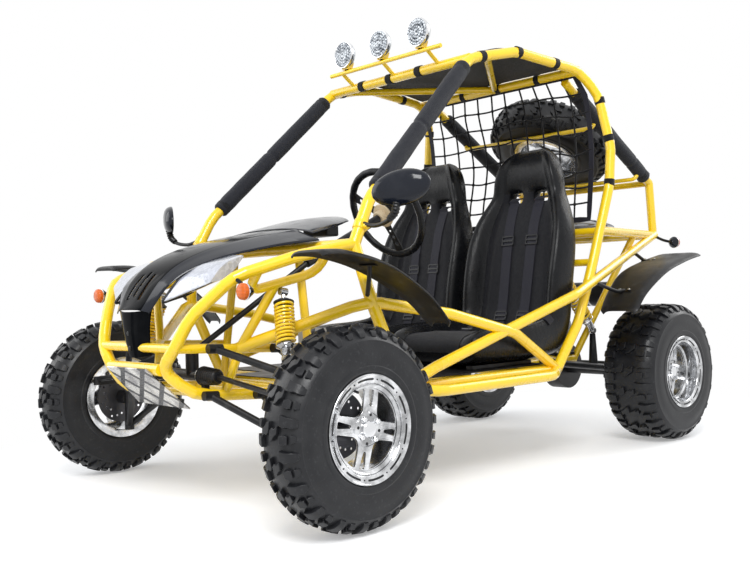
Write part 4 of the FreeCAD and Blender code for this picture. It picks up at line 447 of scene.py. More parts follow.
class Shape:
    """Points and faces of one piece, gathered form by form."""

    def __init__(self):
        self.points = []
        self.faces = []
        self.finish_numbers = []
        self.strip_marks = {}

    def add(self, points, faces, number=0):
        start = len(self.points)
        self.points += [Vector(point) for point in points]
        self.faces += [tuple(start + corner for corner in face) for face in faces]
        self.finish_numbers += [number] * len(faces)

    def join(self, mesh, matrix=Matrix(), number=0):
        """Take in a whole mesh."""
        points = [matrix @ spot.co for spot in mesh.vertices]
        self.add(points, [tuple(face.vertices) for face in mesh.polygons], number)

    def rings(self, rings, number=0, closed=False, capped=True):
        """Skin between rings of equal count; closed joins the last ring to the first."""
        count = len(rings[0])
        points = [point for ring in rings for point in ring]
        faces = []
        for row in range(len(rings) if closed else len(rings) - 1):
            here, there = row * count, (row + 1) % len(rings) * count
            for place in range(count):
                after = (place + 1) % count
                faces.append((here + place, here + after, there + after, there + place))
        if capped and not closed:
            faces.append(tuple(reversed(range(count))))
            faces.append(tuple(range((len(rings) - 1) * count, len(rings) * count)))
        self.add(points, faces, number)

    def tube(self, path, radius, sides=12, number=0, closed=False, swell=None):
        """A round bar along a path. A function swell(share) may scale its radius."""
        path = [Vector(point) for point in path]
        side = None
        rings = []
        for place, spot in enumerate(path):
            before = path[place - 1] if place or closed else spot
            after = path[(place + 1) % len(path)] if place + 1 < len(path) or closed else spot
            way = (after - before).normalized()
            if side is None:
                side = way.orthogonal().normalized()
            side = (side - way * side.dot(way)).normalized()
            other = way.cross(side)
            wide = radius * (swell(place / (len(path) - 1)) if swell else 1)
            rings.append([
                spot + (side * math.cos(turn) + other * math.sin(turn)) * wide
                for turn in (math.tau * step / sides for step in range(sides))
            ])
        self.rings(rings, number, closed)

    def turned(self, profile, matrix=Matrix(), sides=48, number=0, closed=False):
        """Turn a profile of (radius, rise) round the local Z axis."""
        rings = []
        for radius, rise in profile:
            rings.append([
                matrix @ Vector((radius * math.cos(turn), radius * math.sin(turn), rise))
                for turn in (math.tau * step / sides for step in range(sides))
            ])
        self.rings(rings, number, closed)

    def box(self, low, high, matrix=Matrix(), number=0):
        """A block between two corners."""
        spots = [matrix @ Vector((x, y, z)) for z in (low[2], high[2]) for x, y in (
            (low[0], low[1]), (high[0], low[1]), (high[0], high[1]), (low[0], high[1]))]
        self.rings([spots[:4], spots[4:]], number)

    def strip(self, path, outward, width, thick, number=0):
        """A flat strap along a path. Outward is one direction, or one for each point."""
        path = [Vector(point) for point in path]
        start = len(self.faces)
        rings = []
        far = 0.0
        marks = []
        for place, spot in enumerate(path):
            before = path[max(place - 1, 0)]
            after = path[min(place + 1, len(path) - 1)]
            way = (after - before).normalized()
            out = Vector(outward[place] if isinstance(outward, list) else outward)
            out = (out - way * out.dot(way)).normalized()
            side = way.cross(out)
            far += (spot - before).length
            marks.append(far)
            rings.append([
                spot + side * width / 2, spot - side * width / 2,
                spot - side * width / 2 + out * thick, spot + side * width / 2 + out * thick,
            ])
        self.rings(rings, number)
        count = 0
        for row in range(len(path) - 1):
            for place in range(4):
                across = [(0, width), (width, width), (width, 0), (0, 0)][place]
                self.strip_marks[start + count] = (
                    (across[0], marks[row]), (across[1], marks[row]),
                    (across[1], marks[row + 1]), (across[0], marks[row + 1]))
                count += 1

    def mesh(self, name, looks):
        made = bpy.data.meshes.new(name)
        made.from_pydata(self.points, [], self.faces)
        for look in looks:
            made.materials.append(finish(look))
        made.polygons.foreach_set("material_index", self.finish_numbers)
        made.polygons.foreach_set("use_smooth", [True] * len(self.faces))
        if self.strip_marks:
            layer = made.uv_layers.new(name="belt")
            for face, corners in self.strip_marks.items():
                for loop, corner in zip(made.polygons[face].loop_indices, corners):
                    layer.data[loop].uv = corner
        made.update()
        return made


def eased(made, width, steps=2, angle=30):
    """Round the edges that are sharper than an angle in degrees."""
    easing = made.modifiers.new("eased edges", "BEVEL")
    easing.width = width
    easing.segments = steps
    easing.limit_method = "ANGLE"
    easing.angle_limit = math.radians(angle)


def subdivided(made, name, levels):
    """Smooth a mesh by subdivision."""
    smoothing = made.modifiers.new(name, "SUBSURF")
    smoothing.levels = smoothing.render_levels = levels


def walled(made, thick, edge=None):
    """Give an open sheet its thickness, with eased edges."""
    wall = made.modifiers.new("wall", "SOLIDIFY")
    wall.thickness = thick
    wall.offset = -1
    eased(made, edge or thick * 0.3)
    return made


def linked(name, data):
    """A new object in the scene."""
    made = bpy.data.objects.new(name, data)
    bpy.context.scene.collection.objects.link(made)
    return made


def put(name, mesh, body="chassis", matrix=None, crease=38, round_edge=0.0, steps=2):
    """Stand a mesh in the scene, on its body, with its edges eased."""
    mesh.set_sharp_from_angle(angle=math.radians(crease))
    made = linked(name, mesh)
    if matrix is not None:
        made.matrix_world = matrix
    if round_edge:
        eased(made, round_edge, steps, crease)
    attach(made, body)
    return made


def plate(outlines, thick, edge, name):
    """A flat plate from closed outlines in X and Y, the later ones as holes, with eased edges."""
    curve = bpy.data.curves.new(name, "CURVE")
    curve.dimensions = "2D"
    curve.fill_mode = "BOTH"
    curve.extrude = thick / 2 - edge
    curve.bevel_depth = edge
    curve.bevel_resolution = 2
    curve.offset = -edge
    for outline in outlines:
        spline = curve.splines.new("POLY")
        spline.points.add(len(outline) - 1)
        for spot, place in zip(spline.points, outline):
            spot.co = (place[0], place[1], 0, 1)
        spline.use_cyclic_u = True
    holder = bpy.data.objects.new(name, curve)
    made = bpy.data.meshes.new_from_object(holder)
    bpy.data.objects.remove(holder)
    return made


def circle(radius, sides, middle=(0, 0)):
    return [(middle[0] + radius * math.cos(math.tau * step / sides),
             middle[1] + radius * math.sin(math.tau * step / sides)) for step in range(sides)]


def disc(radius, low, high):
    """Profile of a plain disc, to turn."""
    return [(0, low), (radius, low), (radius, high), (0, high)]


def sleeve(inner, outer, low, high):
    """Closed profile of a plain ring, to turn."""
    return [(inner, low), (outer, low), (outer, high), (inner, high)]


def rounded(corners, radius, steps=5):
    """Round the corners of a closed outline."""
    made = []
    corners = [Vector(corner) for corner in corners]
    for place, corner in enumerate(corners):
        before, after = corners[place - 1], corners[(place + 1) % len(corners)]
        reach = min(radius, (before - corner).length * 0.45, (after - corner).length * 0.45)
        start = corner + (before - corner).normalized() * reach
        end = corner + (after - corner).normalized() * reach
        for step in range(steps + 1):
            share = step / steps
            made.append(start * (1 - share) ** 2 + corner * 2 * share * (1 - share) + end * share ** 2)
    return made


def smooth_path(points, steps=8):
    """Points on a smooth line through the given ones."""
    points = [Vector(point) for point in points]
    full = [points[0] * 2 - points[1], *points, points[-1] * 2 - points[-2]]
    made = []
    for place in range(1, len(full) - 2):
        a, b, c, d = full[place - 1:place + 3]
        for step in range(steps):
            t = step / steps
            made.append(((b * 2) + (c - a) * t + (a * 2 - b * 5 + c * 4 - d) * t * t
                         + (b * 3 - a - c * 3 + d) * t ** 3) / 2)
    made.append(points[-1])
    return made


# Wheels

def wheel_matrix(center, out, forward):
    """Local Z points out of the wheel and local X along forward."""
    out, forward = Vector(out).normalized(), Vector(forward).normalized()
    upward = out.cross(forward)
    turn = Matrix((forward, upward, out)).transposed().to_4x4()
    turn.translation = center
    return turn


FRONT_HUB = Vector((0.665, -0.925, 0.279))
REAR_HUB = Vector((0.515, 0.925, 0.279))
STRUT_TOP = Vector((0.352, 0.545, 1.462))
STRUT_BOTTOM = Vector((0.350, 1.172, 1.092))


def spare_matrix():
    run = STRUT_BOTTOM - STRUT_TOP
    normal = Vector((0, -run.z, run.y)).normalized()
    middle = STRUT_TOP.lerp(STRUT_BOTTOM, 0.57)
    return wheel_matrix(Vector((0, middle.y, middle.z)) + normal * 0.041, normal, (1, 0, 0))


def wheel_places():
    """Each wheel's name, body, matrix and whether it is a rear one."""
    places = []
    for side, word in ((1, "left"), (-1, "right")):
        for hub, end, body in ((FRONT_HUB, "front", "front_wheel_" + word),
                               (REAR_HUB, "rear", "rear_wheels")):
            center = Vector((hub.x * side, hub.y, hub.z))
            places.append((end, word, body, wheel_matrix(center, (side, 0, 0), (0, side, 0))))
    places.append(("spare", "", "chassis", spare_matrix()))
    return places


def carcass(width, radius, lug):
    """Side-to-side outline of a tyre under its lugs, as (radius, rise)."""
    half = width / 2
    side = [
        (0.1225, half - 0.021), (0.146, half - 0.0155), (0.1475, half - 0.0045), (0.152, half - 0.0015),
        (0.158, half - 0.0005), (0.166, half - 0.0006), (0.168, half - 0.002), (0.172, half - 0.002),
        (0.19, half - 0.0002), (0.212, half - 0.0012), (0.23, half - 0.005), (0.2335, half - 0.004),
        (0.238, half - 0.0065), (0.247, half - 0.014), (0.256, half - 0.025),
        (radius - lug - 0.003, half - 0.042), (radius - lug - 0.0006, half * 0.3),
    ]
    return side + [(radius - lug, 0.0)] + [(r, -rise) for r, rise in reversed(side)]


def tread_spot(outline, reach):
    """Point and outward direction on the tread, a distance from its middle."""
    middle = len(outline) // 2
    step = -1 if reach > 0 else 1
    left = abs(reach)
    place = middle
    while True:
        a, b = Vector(outline[place]), Vector(outline[place + step])
        length = (b - a).length
        if left <= length:
            spot = a.lerp(b, left / length)
            way = (b - a).normalized()
            out = Vector((-way.y, way.x)) if step > 0 else Vector((way.y, -way.x))
            if out.x < 0:
                out = -out
            return spot, out
        left -= length
        place += step


def tyre_mesh(name, width, radius, lug, pitches, lugs):
    outline = carcass(width, radius, lug)
    shape = Shape()
    shape.turned(outline, sides=96, closed=True)
    middle_radius = radius - lug
    rng = random.Random(7)
    for pitch in range(pitches):
        for mirror in (1, -1):
            shift = math.tau * (pitch + (0.5 if mirror < 0 else 0)) / pitches
            for rows in lugs:
                low, high = [], []
                jitter = rng.uniform(-0.0008, 0.0008)
                for reach, start, end, rise in rows:
                    spot, out = tread_spot(outline, reach * mirror)
                    inset = (end - start) * 0.07
                    for t_low, t_high in ((start, start + inset), (end, end - inset)):
                        base = spot - out * 0.003
                        top = spot + out * (lug * rise)
                        for store, flat, t in ((low, base, t_low), (high, top, t_high)):
                            turn = shift + (t + jitter) * mirror / middle_radius
                            store.append(Vector((flat.x * math.cos(turn), flat.x * math.sin(turn), flat.y)))
                count = len(rows)
                faces = []
                for row in range(count - 1):
                    a, b, c, d = row * 2, row * 2 + 1, row * 2 + 3, row * 2 + 2
                    top = 2 * count
                    faces.append((top + a, top + b, top + c, top + d))
                    faces.append((a, top + a, top + d, d))
                    faces.append((b, c, top + c, top + b))
                faces.append((0, 1, 2 * count + 1, 2 * count))
                faces.append((2 * count - 2, 4 * count - 2, 4 * count - 1, 2 * count - 1))
                if mirror < 0:
                    faces = [tuple(reversed(face)) for face in faces]
                shape.add(low + high, faces)
    return shape.mesh(name, ["tyre"])


def lug_rows(scale):
    """Blocks of half a tread: rows of reach, start, end and height share."""
    return [
        [(0.002 * scale, 0.018, 0.048, 1.0), (0.011 * scale, 0.010, 0.045, 1.0),
         (0.019 * scale, 0.014, 0.034, 1.0), (0.027 * scale, 0.006, 0.028, 0.98)],
        [(0.031 * scale, -0.022, 0.006, 0.98), (0.041 * scale, -0.019, 0.013, 1.0),
         (0.052 * scale, -0.017, 0.010, 0.95), (0.060 * scale, -0.017, 0.012, 0.9),
         (0.069 * scale, -0.015, 0.011, 0.7), (0.077 * scale, -0.012, 0.008, 0.3)],
        [(0.034 * scale, 0.030, 0.052, 0.95), (0.045 * scale, 0.026, 0.054, 0.95),
         (0.054 * scale, 0.030, 0.052, 0.9)],
        [(0.060 * scale, 0.026, 0.052, 0.8), (0.067 * scale, 0.028, 0.050, 0.55),
         (0.074 * scale, 0.030, 0.048, 0.2)],
    ]


def polar(radius, half, angle):
    """A place at a radius, a distance to one side of a ray."""
    return Vector((radius * math.cos(angle) - half * math.sin(angle),
                   radius * math.sin(angle) + half * math.cos(angle)))


def rim_mesh(name, width, dish, first, brake):
    """Dished alloy wheel with split spokes, lip slots, nuts and a chrome cap."""
    half = width / 2
    out = half - 0.001
    face = out - dish
    shape = Shape()
    back = -(half - 0.001)
    lip = [
        (0.122, back + 0.014), (0.146, back + 0.001), (0.146, back), (0.143, back), (0.118, back + 0.004),
        (0.1155, back + 0.02), (0.1155, face - 0.004), (0.109, face - 0.0005), (0.109, face + 0.0008),
        (0.113, face + 0.002), (0.117, face + 0.006), (0.1185, out - 0.012), (0.1195, out - 0.008),
        (0.121, out - 0.0065), (0.1225, out - 0.0072), (0.124, out - 0.006), (0.1395, out - 0.0022),
        (0.142, out), (0.1448, out + 0.0002), (0.146, out - 0.001), (0.1458, out - 0.004),
        (0.14, out - 0.0075), (0.122, out - 0.014),
    ]
    shape.turned(lip, sides=96, closed=True)
    holes = []
    for spoke in range(4):
        angle = first + spoke * math.tau / 4
        holes.append(rounded([polar(0.06, -0.004, angle), polar(0.104, -0.0095, angle),
                              polar(0.104, 0.0095, angle), polar(0.06, 0.004, angle)], 0.005))
        between = angle + math.tau / 8
        arc = [polar(0.1062, 0, between + turn) for turn in (0.55, 0.37, 0.12, -0.12, -0.37, -0.55)]
        near = [polar(0.05, -0.0145, between), polar(0.0455, 0, between), polar(0.05, 0.0145, between)]
        holes.append(rounded(near + arc, 0.0065, 4))
    web = plate([circle(0.1105, 96), *[list(reversed(hole)) for hole in holes]], 0.009, 0.0016, name)
    for spot in web.vertices:
        away = math.hypot(spot.co.x, spot.co.y)
        spot.co.z += face - 0.0045 + 0.004 * math.sin(min(away / 0.11, 1.0) * math.pi) - 0.002
    shape.join(web)
    shape.turned([(0, face - 0.009), (0.0445, face - 0.009), (0.046, face + 0.002), (0.042, face + 0.0055),
                  (0.037, face + 0.006), (0.027, face + 0.004), (0, face + 0.004)], sides=64)
    shape.turned([(0, face), (0.0215, face), (0.0225, face + 0.002), (0.0225, face + 0.009),
                  (0.0195, face + 0.0125), (0.012, face + 0.0138), (0, face + 0.014)], sides=40, number=1)
    for spoke in range(4):
        angle = first + (spoke + 0.5) * math.tau / 4
        spot = Matrix.Translation((*polar(0.0335, 0, angle), face + 0.004))
        shape.turned([(0, 0), (0.0095, 0), (0.0095, 0.0012), (0.0078, 0.002), (0.0078, 0.009),
                      (0.0058, 0.0115), (0.0045, 0.0118), (0, 0.0118)], spot, 6, 1)
        pit = Matrix.Translation((*polar(0.038, 0, first + spoke * math.tau / 4), face + 0.0052))
        shape.turned(disc(0.0042, 0, 0.0012), pit, 16, 2)
    for slot in range(10):
        middle = first + (slot + 0.5) * math.tau / 10
        rows = []
        for step in range(13):
            turn = middle + (step / 12 - 0.5) * math.tau / 10 * 0.68
            pinch = 0.7 if step in (0, 12) else 1.0
            rows.append([Vector((r * math.cos(turn), r * math.sin(turn), out - drop)) for r, drop in (
                (0.1318 - 0.0028 * pinch, 0.0054), (0.1318 + 0.0028 * pinch, 0.0041),
                (0.1318 + 0.0028 * pinch, 0.0032), (0.1318 - 0.0028 * pinch, 0.0045))])
        shape.rings(rows, 2)
        dot = Matrix.Translation((*polar(0.1318, 0, first + slot * math.tau / 10), out - 0.0048))
        shape.turned([(0, 0), (0.0024, 0), (0.0024, 0.0012), (0.0012, 0.002), (0, 0.002)], dot, 12, 2)
    valve = polar(0.112, 0, first + 0.6)
    valve_tip = (valve.x * 0.97, valve.y * 0.97, face + 0.014)
    shape.tube([(valve.x, valve.y, face + 0.002), valve_tip], 0.0036, 10, 2)
    if brake:
        shape.turned([(0.012, face - 0.008), (0.03, face - 0.008), (0.03, -0.05), (0.016, -0.05)],
                     sides=40, number=3, closed=True)
        ring = plate([circle(0.092, 72), list(reversed(circle(0.05, 48))), *[
            list(reversed(circle(0.004, 12, polar(0.07 + 0.009 * (turn % 3 - 1), 0, turn * math.tau / 24))))
            for turn in range(24)]], 0.0036, 0.0006, name + "_disc")
        shape.join(ring, Matrix.Translation((0, 0, -0.052)), 3)
        shape.turned(sleeve(0.016, 0.056, -0.05, -0.0545), sides=48, number=3, closed=True)
    else:
        shape.turned(sleeve(0.0152, 0.03, face - 0.008, face - 0.03), sides=40, number=3, closed=True)
    return shape.mesh(name, ["alloy", "chrome", "black_plastic", "dark_disc"])


class BUGGY_OT_tyres(bpy.types.Operator):
    """Five knobbly tyres in place of the plain ones"""
    bl_idname = "buggy.tyres"
    bl_label = "Tyres"

    def execute(self, context):
        wheels = context.scene.buggy_wheels
        front, rear = (
            tyre_mesh(end + "_tread", width, wheels.radius, wheels.lug, wheels.pitches, lug_rows(scale))
            for end, width, scale in (("front", wheels.front_width, 1.0), ("rear", wheels.rear_width, 1.45)))
        for end, word, body, matrix in wheel_places():
            node = "spare_tyre" if end == "spare" else "%s_tyre_%s" % (end, word)
            made = put("tread_" + node, rear if end == "rear" else front, body, matrix,
                       crease=32, round_edge=0.0011)
            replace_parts(made, node)
        return {"FINISHED"}


class BUGGY_OT_rims(bpy.types.Operator):
    """Alloy wheels with split spokes, slots, nuts and caps"""
    bl_idname = "buggy.rims"
    bl_label = "Rims"

    def execute(self, context):
        wheels = context.scene.buggy_wheels
        for end, width, dish, brake in (("front", wheels.front_width, 0.018, True),
                                        ("rear", wheels.rear_width, 0.058, False),
                                        ("spare", wheels.front_width, 0.018, False)):
            mesh = rim_mesh(end + "_wheel", width, dish, wheels.spoke_angle, brake)
            for place, word, body, matrix in wheel_places():
                if place != end:
                    continue
                node = "spare_rim" if end == "spare" else "%s_rim_%s" % (end, word)
                made = put("alloy_" + node, mesh, body, matrix, crease=32)
                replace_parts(made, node)
        return {"FINISHED"}


# Seats and belts

SEAT_ROWS = (
    # front point, back point, half width, bolster height; metres, side view along and up
    ((-0.176, 0.418), (-0.160, 0.392), 0.196, 0.000),
    ((-0.186, 0.446), (-0.166, 0.380), 0.206, 0.006),
    ((-0.164, 0.476), (-0.140, 0.373), 0.214, 0.016),
    ((-0.090, 0.480), (-0.080, 0.372), 0.222, 0.030),
    ((0.020, 0.470), (0.020, 0.372), 0.228, 0.044),
    ((0.130, 0.464), (0.130, 0.372), 0.232, 0.056),
    ((0.220, 0.468), (0.230, 0.372), 0.234, 0.066),
    ((0.284, 0.492), (0.320, 0.378), 0.236, 0.074),
    ((0.312, 0.548), (0.376, 0.440), 0.237, 0.082),
    ((0.325, 0.620), (0.390, 0.580), 0.239, 0.088),
    ((0.342, 0.710), (0.408, 0.700), 0.2405, 0.088),
    ((0.360, 0.800), (0.426, 0.796), 0.2405, 0.080),
    ((0.377, 0.880), (0.440, 0.880), 0.226, 0.066),
    ((0.391, 0.940), (0.452, 0.944), 0.200, 0.050),
    ((0.400, 0.982), (0.462, 0.984), 0.178, 0.036),
    ((0.405, 1.018), (0.470, 1.020), 0.162, 0.028),
    ((0.397, 1.062), (0.479, 1.064), 0.157, 0.025),
    ((0.394, 1.100), (0.488, 1.100), 0.146, 0.020),
    ((0.402, 1.146), (0.496, 1.146), 0.124, 0.013),
    ((0.424, 1.180), (0.500, 1.177), 0.088, 0.006),
    ((0.450, 1.195), (0.490, 1.193), 0.050, 0.000),
)
SEAT_COLUMNS = (0.0, 0.17, 0.36, 0.56, 0.66, 0.76, 0.88, 0.96, 1.0)
BOLSTER_FORM = (0.0, 0.0, 0.0, 0.02, 0.12, 0.72, 1.0, 0.78, 0.3)
BACK_FORM = (0.0, 0.0, 0.0, 0.0, 0.02, 0.06, 0.16, 0.34, 0.62)
SLOT_ROW = 14
SLOT_COLUMNS = (1, 2)
SEAM_COLUMN = 4


def seat_grid(middle):
    """Control points of one seat, front and back, row by row."""
    grids = ([], [])
    columns = [(-share, rise, back) for share, rise, back in
               reversed(list(zip(SEAT_COLUMNS, BOLSTER_FORM, BACK_FORM))[1:])]
    columns += list(zip(SEAT_COLUMNS, BOLSTER_FORM, BACK_FORM))
    for row, (front, back, half, bolster) in enumerate(SEAT_ROWS):
        before = SEAT_ROWS[max(row - 1, 0)][0]
        after = SEAT_ROWS[min(row + 1, len(SEAT_ROWS) - 1)][0]
        way = Vector((after[0] - before[0], after[1] - before[1])).normalized()
        normal = Vector((-way.y, way.x))
        front, back = Vector(front), Vector(back)
        for grid in grids:
            grid.append([])
        for share, rise, behind in columns:
            spot = front + normal * bolster * rise - (front - back) * (0.18 if abs(share) == 1 else 0)
            grids[0][-1].append(Vector((middle + half * share, spot.x, spot.y)))
            spot = back.lerp(front, behind)
            grids[1][-1].append(Vector((middle + half * share * 0.985, spot.x, spot.y)))
    return grids


def seat_cage(name, middle):
    """Closed seat cage with two belt slots through its backrest, seams as a vertex group."""
    front, back = seat_grid(middle)
    rows, columns = len(front), len(front[0])
    center = columns // 2
    holes = set()
    for column in SLOT_COLUMNS:
        holes.add((SLOT_ROW, center + column))
        holes.add((SLOT_ROW, center - column - 1))
    count = rows * columns
    points = [spot for row in front for spot in row] + [spot for row in back for spot in row]
    faces, panel = [], []

    def mark(row, column, layer):
        return layer * count + row * columns + column

    def wall(a, b):
        faces.append((mark(*a, 0), mark(*b, 0), mark(*b, 1), mark(*a, 1)))

    for row in range(rows - 1):
        for column in range(columns - 1):
            corners = [(row, column), (row, column + 1), (row + 1, column + 1), (row + 1, column)]
            if (row, column) in holes:
                neighbours = [(row - 1, column), (row, column + 1), (row + 1, column), (row, column - 1)]
                for place, neighbour in enumerate(neighbours):
                    if neighbour not in holes:
                        wall(corners[place], corners[(place + 1) % 4])
                continue
            if row <= SLOT_ROW and abs(column + 0.5 - center) < SEAM_COLUMN:
                panel.append(len(faces))
            faces.append(tuple(mark(*corner, 0) for corner in corners))
            faces.append(tuple(mark(*corner, 1) for corner in reversed(corners)))
    edge = [(0, column) for column in range(columns)] + [(row, columns - 1) for row in range(1, rows)]
    edge += [(rows - 1, column) for column in range(columns - 2, -1, -1)]
    edge += [(row, 0) for row in range(rows - 2, 0, -1)]
    for place, spot in enumerate(edge):
        wall(edge[(place + 1) % len(edge)], spot)
    mesh = bpy.data.meshes.new(name)
    mesh.from_pydata(points, [], faces)
    mesh.update()
    mesh.materials.append(finish("seat_vinyl"))
    mesh.materials.append(finish("seat_cloth"))
    for place in panel:
        mesh.polygons[place].material_index = 1
    made = linked(name, mesh)
    seams = made.vertex_groups.new(name="seams")
    held = []
    for row in range(rows):
        for column in (center - SEAM_COLUMN, center + SEAM_COLUMN):
            held.append(mark(row, column, 0))
        held += [mark(row, column, 1) for column in range(columns)]
        held += [mark(row, 0, 0), mark(row, columns - 1, 0)]
    for row in (SLOT_ROW, SLOT_ROW + 1):
        held += [mark(row, column, 0) for column in range(center - SEAM_COLUMN, center + SEAM_COLUMN + 1)]
    seams.add(sorted(set(held)), 1.0, "REPLACE")
    return made


def applied(made):
    """Bake an object's modifiers into its mesh."""
    graph = bpy.context.evaluated_depsgraph_get()
    shown = made.evaluated_get(graph)
    mesh = bpy.data.meshes.new_from_object(shown, preserve_all_data_layers=True, depsgraph=graph)
    old = made.data
    made.modifiers.clear()
    made.data = mesh
    bpy.data.meshes.remove(old)
    return made


def puffed(made, pressure, limit):
    """Blow a cover up a little with cloth, hold its seams, and cap how far it moves."""
    rest = [spot.co.copy() for spot in made.data.vertices]
    cloth = made.modifiers.new("cover", "CLOTH")
    cloth.settings.use_pressure = True
    cloth.settings.uniform_pressure_force = pressure
    cloth.settings.effector_weights.gravity = 0
    cloth.settings.vertex_group_mass = "seams"
    cloth.settings.quality = 5
    cloth.settings.tension_stiffness = 12
    cloth.settings.compression_stiffness = 12
    cloth.settings.bending_stiffness = 0.4
    cloth.collision_settings.use_collision = False
    scene = bpy.context.scene
    for step in range(1, 17):
        scene.frame_set(step)
    graph = bpy.context.evaluated_depsgraph_get()
    shaped = made.evaluated_get(graph).data
    moved = [spot.co.copy() for spot in shaped.vertices]
    made.modifiers.clear()
    scene.frame_set(1)
    for spot, old, new in zip(made.data.vertices, rest, moved):
        step = new - old
        if step.length > limit:
            step = step.normalized() * limit
        spot.co = old + step
    made.data.update()


def piping(cover, side, across):
    """Piped seams on both sides of the middle panel, laid on the finished cover."""
    tree = BVHTree.FromObject(cover, bpy.context.evaluated_depsgraph_get())
    grid = seat_grid(across)[0]
    center = len(grid[0]) // 2
    shape = Shape()
    for column in (center - SEAM_COLUMN, center + SEAM_COLUMN):
        line = smooth_path([row[column] for row in grid[1:SLOT_ROW + 1]], 6)
        spots = [(Vector((side * spot.x, spot.y, spot.z)), seat_line(1 + place / 6)[1])
                 for place, spot in enumerate(line)]
        shape.tube(laid(tree, spots, 0.0008)[0], 0.0023, 8, 0)
    return shape


class BUGGY_OT_seats(bpy.types.Operator):
    """Two padded bucket seats on their runners"""
    bl_idname = "buggy.seats"
    bl_label = "Seats"

    def execute(self, context):
        seats = context.scene.buggy_seats
        made = seat_cage("seat_cover_left", seats.across)
        subdivided(made, "form", 2)
        applied(made)
        puffed(made, 3.0, seats.swell)
        made.data.polygons.foreach_set("use_smooth", [True] * len(made.data.polygons))
        other = made.copy()
        other.data = made.data.copy()
        other.name = "seat_cover_right"
        bpy.context.scene.collection.objects.link(other)
        for spot in other.data.vertices:
            spot.co.x = -spot.co.x
        other.data.flip_normals()
        for seat, node in ((made, "seat_left"), (other, "seat_right")):
            subdivided(seat, "smooth", 1)
            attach(seat, "chassis")
            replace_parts(seat, node)
        for seat, side, word in ((made, 1, "left"), (other, -1, "right")):
            seam = piping(seat, side, seats.across).mesh("piping", ["grip"])
            put("seat_piping_" + word, seam)
        runners = Shape()
        for side in (1, -1):
            for place in (seats.across - 0.168, seats.across + 0.138):
                runners.box((side * place, -0.15, 0.3595), (side * place + side * 0.03, 0.18, 0.374))
        put("seat_runners", runners.mesh("seat_runners", ["black_steel"]), round_edge=0.002)
        return {"FINISHED"}


# Pads, ties, belts, canopy and net

# Places on the left side of the frame
PILLAR_FOOT = Vector((0.448, -0.706, 0.785))
PILLAR_BEND = Vector((0.437, -0.628, 0.928))
ROOF_FRONT = Vector((0.374, -0.062, 1.462))
RAIL_CREST = Vector((0.402, 0.170, 1.515))
RAIL_REAR = Vector((0.428, 0.530, 1.492))
HOOP_SHOULDER = Vector((0.462, 0.612, 1.400))
HOOP_HIGH = Vector((0.500, 0.632, 1.190))
HOOP_MID = Vector((0.500, 0.612, 1.030))


def flipped(spot):
    """The same place on the other side."""
    return Vector((-spot[0], spot[1], spot[2]))


def along_bar(start, end, share, roll=(0, 0, 1)):
    """Matrix at a share of a bar: Z along it, X towards roll."""
    start, end = Vector(start), Vector(end)
    way = (end - start).normalized()
    side = Vector(roll)
    side = (side - way * side.dot(way)).normalized()
    turn = Matrix((side, way.cross(side), way)).transposed().to_4x4()
    turn.translation = start.lerp(end, share)
    return turn


def pad_form(shape, start, end, low, high, radius, ties, folds):
    """A foam sleeve on a bar: nipped at its ties, creased at its folds, overlapped along one side."""
    length = (end - start).length * (high - low)
    steps = int(length / 0.007)
    rings = []
    for step in range(steps + 1):
        share = step / steps
        frame_here = along_bar(start, end, low + (high - low) * share, (-1, 0.2, 0))
        far = share * length
        wide = 1.0
        for tie in ties:
            wide -= 0.07 * math.exp(-(((share - tie) * length) / 0.014) ** 2)
        for fold in folds:
            wide -= 0.13 * math.exp(-(((share - fold) * length) / 0.006) ** 2)
        reach = min(far, length - far)
        if reach < 0.008:
            wide *= 0.84 + 0.16 * math.sqrt(max(0.0, 1 - (1 - reach / 0.008) ** 2))
        ring = []
        for turn in range(32):
            angle = math.tau * turn / 32
            away = radius * wide
            if 1.0 < angle < 2.6:
                away += 0.0011
            spot = Vector((math.cos(angle), math.sin(angle), 0.0))
            lump = noise.noise((frame_here @ (spot * 0.03)) * 15.0) * 0.0014
            ring.append(frame_here @ (spot * (away + lump)))
        rings.append(ring)
    shape.rings(rings)


# Radius of a tie on a bare frame tube
TIE_RADIUS = 0.0192


def tie_form(shape, matrix, radius, wide, tail=0.03):
    """A strap closed round a bar, its loose end wound round it."""
    shape.turned([(radius - 0.001, -wide / 2), (radius + 0.0012, -wide / 2), (radius + 0.0016, 0.0),
                  (radius + 0.0012, wide / 2), (radius - 0.001, wide / 2)], matrix, 28, closed=True)
    if tail:
        low, high, half = radius + 0.001, radius + 0.0029, wide * 0.42
        rings = []
        for step in range(7):
            turn = math.radians(75) - tail / radius * step / 6
            rings.append([matrix @ Vector((reach * math.cos(turn), reach * math.sin(turn), rise))
                          for reach, rise in ((low, -half), (high, -half), (high, half), (low, half))])
        shape.rings(rings)


